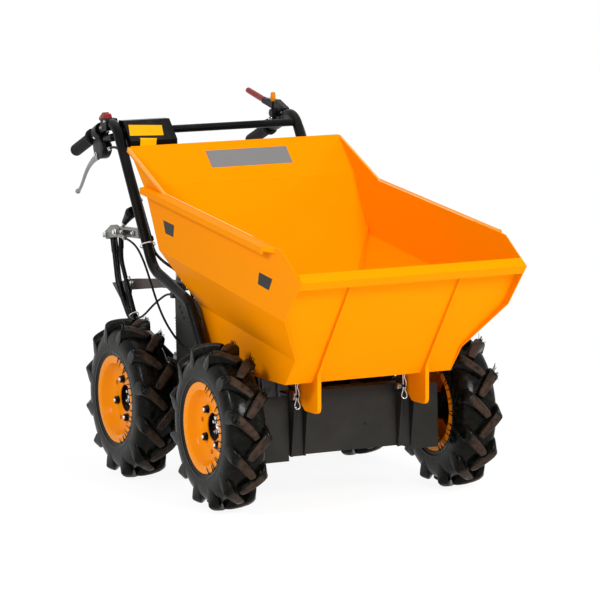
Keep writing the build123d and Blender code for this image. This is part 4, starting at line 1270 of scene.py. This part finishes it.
@dataclass
class Grips(Assembly):
    """The two rubber grips: a ribbed sleeve, a domed end and a thick collar at the machine's side."""

    line: HandleLine = field(default_factory=HandleLine)
    radius: float = 17.0
    ribbed: tuple[float, float] = (6.0, 122.0)          # from the grip's end
    rib_pitch: float = 6.4
    groove: float = 0.9

    def sleeve(self, side: Side) -> Surface:
        """One grip about the tube's line: its radius falls by a groove's depth between the ribs.

        Args:
            side: the handle that it is on.

        Returns:
            The grip.
        """
        t = np.linspace(*self.ribbed, 116)
        ribs = self.radius - self.groove * (0.5 - 0.5 * np.cos(2 * pi * (t - t[0]) / self.rib_pitch)) ** 2
        dome = [(-4.0, 12.6), (-3.4, 13.9), (-1.6, 15.6), (1.0, 16.7), (4.0, 17.0)]
        collar = [(124.0, 17.0), (130.5, 17.4), (132.0, 21.8), (133.4, 23.0), (138.6, 23.0), (140.0, 21.8),
                  (140.0, 14.2)]
        profile = [*dome, *zip(t, ribs), *collar]
        return aimed(turned(profile, 40), self.line.at(side, 0.0), self.line.at(side, 1.0) - self.line.at(side, 0.0))

    def pieces(self) -> list[Piece]:
        """Both grips, which stand for the plain ones."""
        return [Piece(f"grip_{side.word}_ribbed", self.sleeve(side), "GRIP_RUBBER", "black_rubber", 50.0,
                      f"grip_{side.word}") for side in Side]


@dataclass
class BrakeControl(Assembly):
    """The brake control on the right handle: a black cast perch, an alloy blade with a ball end, bright fittings."""

    line: HandleLine = field(default_factory=HandleLine)
    x: float = -265.0
    perch: tuple[tuple[float, float], ...] = (
        (608, 880), (632, 850), (614, 817), (569, 815), (541, 834), (536, 860), (572, 868), (584, 884),
    )
    blade: tuple[tuple[float, float], ...] = (
        (598, 821), (628, 812), (664, 793), (694, 768), (718, 740), (738, 722), (753, 715),
    )
    exit: tuple[float, float] = (525.8, 848.1)

    def casting(self) -> Surface:
        """The perch: its body, its clamp ring and cap, the switch housing in front and the adjuster's boss.

        Returns:
            The castings.
        """
        x = self.x
        parts = [
            slab(self.perch, x - 11, x + 11, 3.0, 2),
            slab([(536, 848), (556, 868), (580, 866), (582, 830), (556, 824)], x - 15, x - 4, 2.5, 2),
            self.line.ring(Side.RIGHT, 192.0, 30.0, 21.0),
            bar((x, 554, 871), (x, 500, 879.6), 11.0, 2.0),
            bar((x, 522, 876), (x, 494, 880.2), 7.5, 1.5),
            bar((x, 560, 836), (x, 538, 845), 6.6, 1.0),
            slab([(588, 884), (600, 868), (618, 874), (606, 892)], x - 12, x + 12, 2.0, 1),
        ]
        return joined(parts)

    def lever(self) -> Surface:
        """The blade: a flat rounded bar along its curve, thick at the pivot, slim in the middle, a ball at its end.

        Returns:
            The blade.
        """
        path = smooth_line([(self.x - 7, y, z) for y, z in self.blade], 3)
        s = np.linspace(0, 1, len(path))
        height = np.interp(s, [0, 0.12, 0.45, 0.8, 0.95, 1], [9.0, 8.5, 6.0, 4.4, 5.2, 4.6])
        width = np.interp(s, [0, 0.2, 1], [4.6, 4.0, 3.6])
        blade = carried(path, width, height, up=(0, 0.3, 1), segments=18, power=2.8)
        t = np.linspace(-0.5 * pi, 0.5 * pi, 13)
        ball = turned(np.stack([7.4 * np.sin(t), np.maximum(7.4 * np.cos(t), 0.05)], -1), 24)
        return joined([blade, aimed(ball, (self.x - 7, 753.5, 714.8), (1, 0, 0))])

    def bright(self) -> Surface:
        """The pivot screw, the clamp's two screws and the cable adjuster with its lock nut.

        Returns:
            The fittings.
        """
        x, (y, z) = self.x, self.exit
        along = np.array([0.0, y - 545.0, z - 843.0])
        tip = np.array([x, y, z])
        return joined([
            *heads((10.0, 5.0, 7.0), [(x - 11, 604, 826)], (-1, 0, 0)),
            aimed(nut(10.0, 5.0), (x + 11, 604, 826), (1, 0, 0)),
            *heads((7.0, 4.0, 4.6), [(x - 12, 594.5, 880), (x - 12, 606, 872)], (-0.8, 0.2, 0.5)),
            aimed(nut(11.0, 5.0), tip - along * 0.62, along),
            bar(tip - along * 0.5, tip + along * 0.02, 4.9, 0.8),
            aimed(stud(3.6, 8.0, 1.0), tip - along * 0.42, along),
        ])

    def pieces(self) -> list[Piece]:
        """The perch, the blade and the fittings, which stand for the plain lever.

        Returns:
            The three pieces.
        """
        return [Piece("brake_perch", self.casting(), "PLASTIC", "black_plastic", replaces="brake_lever"),
                Piece("brake_blade", self.lever(), "CAST_ALLOY", "cast_aluminium", 50.0, "brake_lever"),
                Piece("brake_fittings", self.bright(), "CHROME", "zinc_steel", replaces="brake_lever")]


@dataclass
class ClutchTrim(Assembly):
    """On the left handle: the red sleeve of the long lever, the throttle's orange tip and the bright clamp parts."""

    x: float = 265.0
    lever_foot: tuple[float, float] = (677.0, 943.6)
    lever_end: tuple[float, float] = (786.0, 966.0)

    def sleeve(self) -> Surface:
        """The dipped sleeve: a close tube with a bead at its mouth and a rounded end.

        Returns:
            The sleeve.
        """
        (y0, z0), (y1, z1) = self.lever_foot, self.lever_end
        length = float(np.hypot(y1 - y0, z1 - z0))
        profile = [(-1, 8.1), (0, 9.2), (2, 9.6), (4, 9.0), (8, 8.5), (length * 0.5, 8.6), (length - 3, 8.2),
                   (length - 0.3, 7.9)]
        return aimed(turned(profile, 32), (self.x, y0, z0), (0, y1 - y0, z1 - z0))

    def tip(self) -> Surface:
        """The throttle's tip: a moulded paddle over the stalk's end.

        Returns:
            The tip.
        """
        path = smooth_line([(242, 574.5, 948), (242, 572.5, 956), (242, 570.8, 964), (242, 569.4, 972.2)], 2)
        s = np.linspace(0, 1, len(path))
        width = np.interp(s, [0, 0.15, 0.5, 0.9, 1], [4.6, 6.6, 7.2, 6.4, 5.0])
        return carried(path, width, width * 0.97, up=(0, 1, 0.1), segments=20, power=2.6)

    def bright(self) -> Surface:
        """The clamp plate and the screws of the lever's perch.

        Returns:
            The fittings.
        """
        x = self.x
        return joined([
            slab([(590, 893), (603, 891), (603, 919), (590, 921)], x - 20.0, x - 16.4, 0.8),
            *heads((8.0, 4.5, 5.6), [(x - 20, 596.5, 913), (x - 20, 596.5, 899)], (-1, 0, 0)),
            *heads((8.0, 4.5, 6.0), [(x - 6, 551, 915)], (-0.35, -1, 0.1)),
            *heads((8.0, 4.5, 6.0), [(x + 8, 549, 905)], (-0.2, -1, 0.1)),
            *heads((10.0, 5.0, 7.0), [(x + 18, 556, 912)], (1, 0, 0)),
            aimed(nut(8.0, 4.0), (x + 18, 596, 912), (1, 0, 0)),
            bar((x + 17.4, 553, 911.8), (x + 17.9, 538.4, 911.0), 5.3, 0.6),
        ])

    def pieces(self) -> list[Piece]:
        """The sleeve, the tip and the fittings.

        Returns:
            The three pieces.
        """
        return [Piece("clutch_sleeve", self.sleeve(), "RED_PLASTIC", "black_rubber"),
                Piece("throttle_tip", self.tip(), "ORANGE_PLASTIC", "black_plastic", 60.0),
                Piece("clutch_fittings", self.bright(), "CHROME", "zinc_steel")]


@dataclass
class StopSwitchTrim(Assembly):
    """The red rocker over the stop switch, with a raised bar across it and the housing's screws."""

    x: float = -265.0
    rocker: tuple[tuple[float, float], ...] = (
        (531.0, 918.0), (533.0, 937.0), (546.0, 941.5), (573.0, 936.0), (576.0, 918.0), (552.0, 914.0),
    )

    def pieces(self) -> list[Piece]:
        """The rocker and the screws.

        Returns:
            The two pieces.
        """
        x = self.x
        knob = joined([
            slab(self.rocker, x - 9.6, x + 9.6, 1.2, 1),
            slab([(548, 938), (552, 943.6), (562, 942.2), (566, 936)], x - 8.0, x + 8.0, 0.8),
        ])
        screws = heads((5.5, 2.6, 3.6), [(x - 17, 520, 921), (x - 17, 546, 903)], (-1, 0, 0))
        return [Piece("stop_rocker", knob, "RED_PLASTIC", "black_plastic", 50.0),
                Piece("stop_switch_screws", joined(screws), "ZINC", "zinc_steel")]


@dataclass
class ControlPlates(Assembly):
    """The two blank yellow films on the control box's sloping face."""

    foot: tuple[float, float] = (425.0, 872.0)          # (y, z) of the slope's foot; it rises at 45 degrees
    film: float = 0.3
    # (x, distance up the slope) corners, anticlockwise seen from the front
    plates: tuple[tuple[tuple[float, float], ...], ...] = (
        ((-243.5, 19.5), (-147.5, 15.0), (-141.5, 50.5), (-236.5, 58.0)),
        ((-221.0, -7.0), (-175.0, -10.5), (-170.0, 6.0), (-217.0, 10.0)),
    )

    def spot(self, x: float, s: float) -> np.ndarray:
        """A spot at a distance up the slope, or down the upright face under its foot where s is negative."""
        rise = np.full(2, s / np.sqrt(2)) if s > 0 else (0.0, 2.2 * s)
        return np.array([x, *np.add(self.foot, rise)])

    def laid(self, corners: Sequence[np.ndarray], out: np.ndarray) -> Surface:
        """A film just clear of the face whose outward direction is out."""
        return plate([p + out * 0.05 for p in corners], out * self.film)

    def pieces(self) -> list[Piece]:
        """The upper film on the slope, and the lower one folded over the slope's foot.

        Returns:
            Both films as one piece.
        """
        out, forward = np.array([0.0, -1.0, 1.0]) / np.sqrt(2), np.array([0.0, -1.0, 0.0])
        upper, lower = [[self.spot(x, s) for x, s in outline] for outline in self.plates]
        fold = [np.array([lower[k][0] + inset, *self.foot]) for k, inset in ((0, 1.5), (1, 2.0))]
        films = [self.laid(upper, out), self.laid([*lower[:2], *fold[::-1]], forward),
                 self.laid([*fold, *lower[2:]], out)]
        return [Piece("control_plates", joined(films), "YELLOW_FILM", "chassis_paint", None)]


# ---- gear linkage, brackets and fasteners -------------------------------------------------------------
@dataclass
class GearTrim(Assembly):
    """The gear controls' bright and black parts: stick, pins, clevis nuts, rod ends, ties and adjusters."""

    x: float = -265.0
    pins: tuple[tuple[float, float], ...] = ((462, 628), (536, 614))
    adjusters: tuple[tuple[float, float], ...] = ((440.0, 494.0), (454.0, 491.5))
    # the ties: middle, axis, half width and half height
    bands: tuple[tuple[Point, Point, float, float], ...] = (
        ((-262.5, 293.5, 606.5), (0, 0.53, 0.85), 20.5, 17.0), ((-261, 403, 408), (0, 0.6, 0.8), 12.5, 13.5),
        ((283, 350, 686.5), (0, 0.53, 0.85), 7.4, 7.4), ((-248.5, 372, 717.5), (0, 0.53, 0.85), 7.4, 7.4),
    )

    def bright(self) -> Surface:
        """The chromed stick with its ferrule, the pin heads of the cast head and the adjusters of the rods.

        Returns:
            The fittings.
        """
        x = self.x
        return joined([
            bar((x, 475.4, 624.6), (x, 439, 656.5), 5.25, 0.5),
            ring((x, 446, 650.6), (x, 441, 654.8), 5.0, 8.2),
            *heads((12.0, 5.0, 8.6), [(-285, *pin) for pin in self.pins], (-1, 0, 0)),
            *heads((12.0, 5.5, 8.6), [(-245, *pin) for pin in self.pins], (1, 0, 0)),
            aimed(nut(10.0, 5.0), (-284.6, 404, 618.4), (0, -1, -0.1)),
            *heads((8.0, 4.0, 5.6), [(-277, 356, 633.5), (-277, 432, 631)], (-1, 0, 0)),
            *heads((8.0, 5.0, 6.6), [(-247, y, z - 3) for y, z in self.adjusters], (-1, 0, 0)),
            *heads((7.0, 5.0, 5.6), [(-257, y, z + 8.6) for y, z in self.adjusters], (0, 0, 1)),
        ])

    def casting(self) -> Surface:
        """The cast head's rounded knuckles, its ribs and the lugs round its pins.

        Returns:
            The castings.
        """
        knuckle = [ring((-281.4, y, z), (-248.6, y, z), 6.8, 12.4, 2.0) for y, z in self.pins]
        ribs = [slab([(468, 639), (512, 637.6), (512, 634), (468, 635)], a, b, 0.8, 1)
                for a, b in ((-283.2, -280.4), (-249.6, -246.8))]
        lug = slab([(500, 636), (516, 644), (532, 634), (524, 622), (504, 622)], -276, -254, 3.0, 2)
        return joined([*knuckle, *ribs, lug])

    def rods(self) -> Surface:
        """Two more thin sheaths in the bundle, one crossing it, and the crimped ends of all of them.

        Returns:
            The sheaths and their ends.
        """
        path = smooth_line([(-273, 500, 604), (-273, 492, 545), (-272, 466, 470), (-268, 437, 420),
                            (-250, 392, 362), (-205, 330, 300)], 3)
        across = smooth_line([(-262, 516, 604), (-258, 497, 556), (-256, 470, 500), (-264, 440, 445),
                              (-266, 408, 405), (-258, 380, 366)], 3)
        ends = [bar((-261, 531.5, 610), (-261, 522, 566), 10.2, 1.5),
                bar((-263, 474, 612), (-263, 475.5, 580), 7.2, 1.0),
                bar((-273, 500.4, 609), (-273, 496, 574), 5.2, 0.8)]
        return joined([wire(path, 3.4, 12), wire(across, 3.2, 12), *ends])

    def tie(self, place: Point, axis: Point, wide: float, high: float) -> Surface:
        """One cable tie: a flat oval band and the small lock under it.

        Args:
            place: the band's middle.
            axis: the direction of what it holds.
            wide: half of the band's width, along X.
            high: half of its height.

        Returns:
            The band and its lock.
        """
        along, a, t = unit(axis), np.array([1.0, 0.0, 0.0]), circle(40)[:, None]
        b = np.cross(along, a)
        rows = [np.asarray(place) + step * along + (wide + grow) * np.cos(t) * a + (high + grow) * np.sin(t) * b
                for step, grow in ((-1.6, 0.0), (-1.6, 1.1), (1.6, 1.1), (1.6, 0.0))]
        lock = slab([(-2.6, -2.2), (2.6, -2.2), (2.6, 2.2), (-2.6, 2.2)], -2.4, 2.4, 0.5)
        return joined([grid(np.stack(rows), loop_u=True), lock.shifted(place - b * (high + 1.6))])

    def ties(self) -> Surface:
        """The ties round the right tube and its sheaths, round the rods and round a cable on each tube."""
        return joined([self.tie(*band) for band in self.bands])

    def pieces(self) -> list[Piece]:
        """The fittings, the head's lugs, the sheaths and the ties.

        Returns:
            The four pieces.
        """
        return [Piece("gear_fittings", self.bright(), "CHROME", "zinc_steel"),
                Piece("gear_head_lugs", self.casting(), "GREY_CASTING", "cast_aluminium"),
                Piece("gear_sheaths", self.rods(), "SHEATH", "cable_sheath", 50.0),
                Piece("cable_ties", self.ties(), "NATURAL_NYLON", "cable_sheath")]


@dataclass
class Fasteners(Assembly):
    """The bolts that hold the folded chassis together, in rows along the brackets, cases, deck and end plates."""

    def rows(self) -> list[tuple[Sequence[Point], Point]]:
        """Each row of bolts as its places and the direction that the heads point in.

        Returns:
            The rows of one side.
        """
        return [
            ([(-251, y, z) for y, z in ((-96, 196), (-96, 262), (20, 196), (130, 196))], (-1, 0, 0)),
            ([(x, 120 * k, 226) for x in (-236, -184) for k in (-2.6, -1.9, 2.2, 2.9)], (0, 0, 1)),
            ([(x, 372, z) for x in (-236, -186) for z in (136, 250)], (0, 1, 0)),
            ([(-204, y, 270) for y in (70, 340)], (-1, 0, 0)),
            ([(-150, 372, z) for z in (150, 262)], (0, 1, 0)),
        ]

    def pieces(self) -> list[Piece]:
        """Every row, on both sides."""
        bolts = [head for places, axis in self.rows() for head in heads((13.0, 6.0, 10.0), places, axis, 0.7)]
        return [Piece("chassis_bolts", pair(joined(bolts)), "BLACK_ENAMEL", "black_paint")]


# ---- engine and latch ---------------------------------------------------------------------------------
@dataclass
class EngineTrim(Assembly):
    """What is screwed and fitted to the engine: cap, grip, screws, plug cap, float bowl and wing nut."""

    crank: Point = (20.0, 222.0, 406.0)
    lean: float = 65.0                                  # degrees from upright, towards the operator
    tank_z: float = 506.0
    filter_top: float = 644.0

    def on_cylinder(self, u: float, v: float, w: float) -> np.ndarray:
        """A spot given along the leaned cylinder.

        Args:
            u: the distance across.
            v: the distance forward of the cylinder's axis.
            w: the distance out from the crank.

        Returns:
            The spot.
        """
        s, c = sin(radians(self.lean)), cos(radians(self.lean))
        x, y, z = self.crank
        return np.array([x + u, y + v * c + w * s, z - v * s + w * c])

    def knurled(self, radius: float, height: float, ribs: int, depth: float) -> Surface:
        """A moulded cap along X: its radius swells once for each rib and its rims are rounded in.

        Args:
            radius: its outer radius.
            height: its height.
            ribs: how many ribs go round it.
            depth: how far they stand out.

        Returns:
            The cap.
        """
        t = circle(ribs * 8)
        wave = depth * (0.5 + 0.5 * np.cos(ribs * t)) ** 2
        a = np.array([0.0, 0.0, 1.2, height - 2.5, height - 0.7, height, height])
        r = np.array([radius - 3.0, radius - 0.8, radius, radius, radius - 0.8, radius - 2.6, radius - 6.0])
        full = np.array([0.0, 0.6, 1.0, 1.0, 0.7, 0.0, 0.0])
        rings = r[:, None] + full[:, None] * (wave - depth)[None]
        line = np.stack([np.broadcast_to(a[:, None], rings.shape), rings * np.cos(t), rings * np.sin(t)], -1)
        return grid(line, caps=True)

    def black(self) -> Surface:
        """The fuel cap, the rope's grip, the oil filler and the plug's rubber cap.

        Returns:
            The mouldings.
        """
        grip = [(133.0, y, 468.0) for y in (136.0, 137.5, 141.0, 161.0, 181.0, 184.5, 186.0)]
        half = [5.0, 9.0, 13.0, 12.4, 13.0, 9.0, 5.0]
        plug = [self.on_cylinder(u, 0.0, w) for u, w in ((-46, 176), (-58, 177), (-68, 182), (-73, 191), (-74, 204))]
        return joined([
            aimed(self.knurled(33.5, 17.5, 20, 1.6), (-30.0, 212.0, self.tank_z + 84.0), (0, 0, 1)),
            carried(grip, half, half, segments=18),
            aimed(self.knurled(14.0, 13.0, 10, 1.2), (-34.0, 297.0, 352.0), (0, 1, 0)),
            carried(plug, [8.5, 9.5, 9.0, 8.5, 7.5], [8.5, 9.5, 9.0, 8.5, 7.5], up=(0, 1, 0), segments=16),
        ])

    def bright(self) -> Surface:
        """The zinc screws and nuts of the covers, the guard and the feet.

        Returns:
            All of them.
        """
        _, y, z = self.crank
        out = self.on_cylinder(0, 0, 1) - self.on_cylinder(0, 0, 0)
        turns = [radians(60 * i + 18) for i in range(6)]
        cover = [(-72.0, y + dy, z - 8 + dz)
                 for dy, dz in ((-60, 0), (-52, -60), (52, -60), (60, 0), (52, 52), (-52, 52))]
        head = [self.on_cylinder(u, v, 198.0) for u, v in ((-33, -29), (33, -29), (33, 29), (-33, 29))]
        guard = [(gx, 401.0, gz) for gx, gz in ((-67, 560), (63, 560), (63, 630), (-67, 630))]
        feet = [(fx, y + fy, 314.0) for fx, fy in ((-62, -74), (88, -74), (-62, 74), (88, 74))]
        return joined([
            *[aimed(nut(8, 5.0, 7.0), (126.0, y + 90.5 * cos(t), z + 90.5 * sin(t)), (1, 0, 0), t) for t in turns],
            *heads((8, 4.5, 6.4), cover, (-1, 0, 0), 0.4), *heads((8, 5.0, 6.6), head, out, 0.5),
            *heads((7, 3.6, 5.6), guard, (0, 1, 0), 0.6), *heads((13, 8.0, 10.5), feet, (0, 0, 1), 0.3),
            aimed(nut(17, 6.0), self.on_cylinder(-52.5, 0.0, 176.0), (-1, 0, 0)),
            aimed(nut(10, 5.0, 8.0), (97.0, 351.0, 441.2), (0, 0, -1)),
            bar((134.0, 358.0, self.filter_top - 2), (134.0, 358.0, self.filter_top + 8), 3.0, 0.8, 14),
            aimed(nut(17, 8.0, 11.5), (40.0, 297.5, 338.0), (0, 1, 0)),
        ])

    def alloy(self) -> Surface:
        """The carburettor's float bowl and the wing nut on the air filter.

        Returns:
            The bowl and the wing nut.
        """
        bowl = aimed(turned([(0.0, 19.0), (2.4, 19.4), (4.0, 17.0), (16.0, 16.4), (21.0, 14.4), (24.0, 9.6),
                             (24.8, 4.0)], 32), (97.0, 351.0, 466.2), (0, 0, -1))
        top = self.filter_top
        wings = [slab([(358 + s * 4, top - 1), (358 + s * 17, top + 5), (358 + s * 18.5, top + 10),
                       (358 + s * 15, top + 12), (358 + s * 5, top + 6)][::s], 132.6, 135.4, 0.6) for s in (1, -1)]
        return joined([bowl, *wings, aimed(turned([(-3.0, 9.6), (2.0, 9.0), (5.0, 6.0)], 24),
                                           (134.0, 358.0, top), (0, 0, 1))])

    def steel(self) -> Surface:
        """The muffler's rolled seams, one round each end.

        Returns:
            Both seams.
        """
        c, s = superellipse(np.append(circle(72), 0.0), 0.45)
        rounds = [np.stack([np.full_like(c, x), 352.0 + 42.0 * c, 595.0 + 41.0 * s], -1) for x in (-69.0, 65.0)]
        return joined([carried(path, 1.8, 1.8, up=(1, 0, 0), segments=10) for path in rounds])

    def pieces(self) -> list[Piece]:
        """The mouldings, screws, castings and seams.

        Returns:
            The four pieces.
        """
        return [Piece("engine_mouldings", self.black(), "PLASTIC", "black_plastic"),
                Piece("engine_screws", self.bright(), "ZINC", "zinc_steel"),
                Piece("engine_castings", self.alloy(), "CAST_ALLOY", "cast_aluminium"),
                Piece("muffler_seams", self.steel(), "HOT_STEEL", "exhaust_steel", 60.0)]


@dataclass
class LatchTrim(Assembly):
    """The skip latch's return spring, its two collars and the foot's bolts."""

    axis: tuple[float, float] = (-190.0, 262.0)
    low: float = 318.0
    high: float = 408.0
    turns: int = 11

    def pieces(self) -> list[Piece]:
        """The spring, its collars and the foot's bolts.

        Returns:
            All of them as one piece.
        """
        (x, y), low, high = self.axis, self.low, self.high
        t = np.linspace(0, 2 * pi * self.turns, self.turns * 16)
        coil = np.stack([x + 10.5 * np.cos(t), y + 10.5 * np.sin(t), low + (high - low) * t / t[-1]], -1)
        parts = [
            carried(coil, 1.5, 1.5, segments=8),
            ring((x, y, low - 4), (x, y, low - 0.6), 7.1, 13.0, 0.6, 28),
            ring((x, y, high + 0.6), (x, y, high + 4), 7.1, 13.0, 0.6, 28),
            *heads((8, 5.0, 6.0), [(x - 9.5, y + 8.0, 312.0), (x + 9.0, y - 6.5, 312.0)], (0, 0, 1)),
        ]
        return [Piece("latch_fittings", joined(parts), "ZINC", "zinc_steel")]


# ---- the whole machine --------------------------------------------------------------------------------
def dress_nodes(frame: dict[str, Any], shelf: Shelf) -> None:
    """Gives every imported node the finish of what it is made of.

    Args:
        shelf: the finishes by name.
    """
    slots = {entry["node"]: entry["material_slot"] for entry in frame["record"]["subparts"]}
    by_slot = {
        "orange_paint": "ORANGE", "chassis_paint": "ANTHRACITE", "black_paint": "BLACK_ENAMEL",
        "tyre_rubber": "tyre", "black_rubber": "GRIP_RUBBER", "zinc_steel": "ZINC",
        "cast_aluminium": "CAST_ALLOY", "black_plastic": "PLASTIC", "engine_paint": "BLACK_ENAMEL",
        "exhaust_steel": "HOT_STEEL", "cable_sheath": "SHEATH",
    }
    special = {
        "handle_tube_right": "TUBE_BLACK", "handle_tube_left": "TUBE_BLACK", "handle_crossbar": "TUBE_BLACK",
        "gear_arm": "GREY_CASTING", "lower_arm": "PRIMED_STEEL", "gear_rod": "SHEATH", "engine_block": "CAST_ALLOY",
        "control_box": "TUBE_BLACK", "brake_lever": "CAST_ALLOY", "clutch_lever": "TUBE_BLACK",
        "rest_pads": "GRIP_RUBBER",
    }
    for name, packed in frame["nodes"].items():
        finish = shelf["ORANGE_RIM" if name.startswith("rim_") else special.get(name, by_slot[slots[name]])]
        packed.data.materials.clear()
        packed.data.materials.append(finish)


def main() -> None:
    """Builds the scene in order: camera, cables, studio, wheels, and the dressing of each sub-assembly."""
    logging.basicConfig(level=logging.INFO, format="%(name)s: %(message)s")
    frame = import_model()
    scene = bpy.context.scene
    scene.view_settings.view_transform = "Standard"
    shelf = {coat.name: coat.value.made() for coat in Coat}
    shelf["tyre"] = Rubber().made()
    Studio().build()
    for cable in CABLES:
        cable.build(shelf["SHEATH"])
    dress_nodes(frame, shelf)
    phases = {"front": 35.6, "rear": 12.3}
    for seed, (end, side) in enumerate((e, s) for e in phases for s in Side):
        Wheel(end, side, phases[end], seed).build(shelf)
    for assembly in (SkipTrim(), HingeClips(), Grips(), BrakeControl(), ClutchTrim(), StopSwitchTrim(),
                     ControlPlates(), GearTrim(), Fasteners(), EngineTrim(), LatchTrim()):
        assembly.build(shelf)
    LOG.info("the scene is whole")


if __name__ == "__main__":
    main()
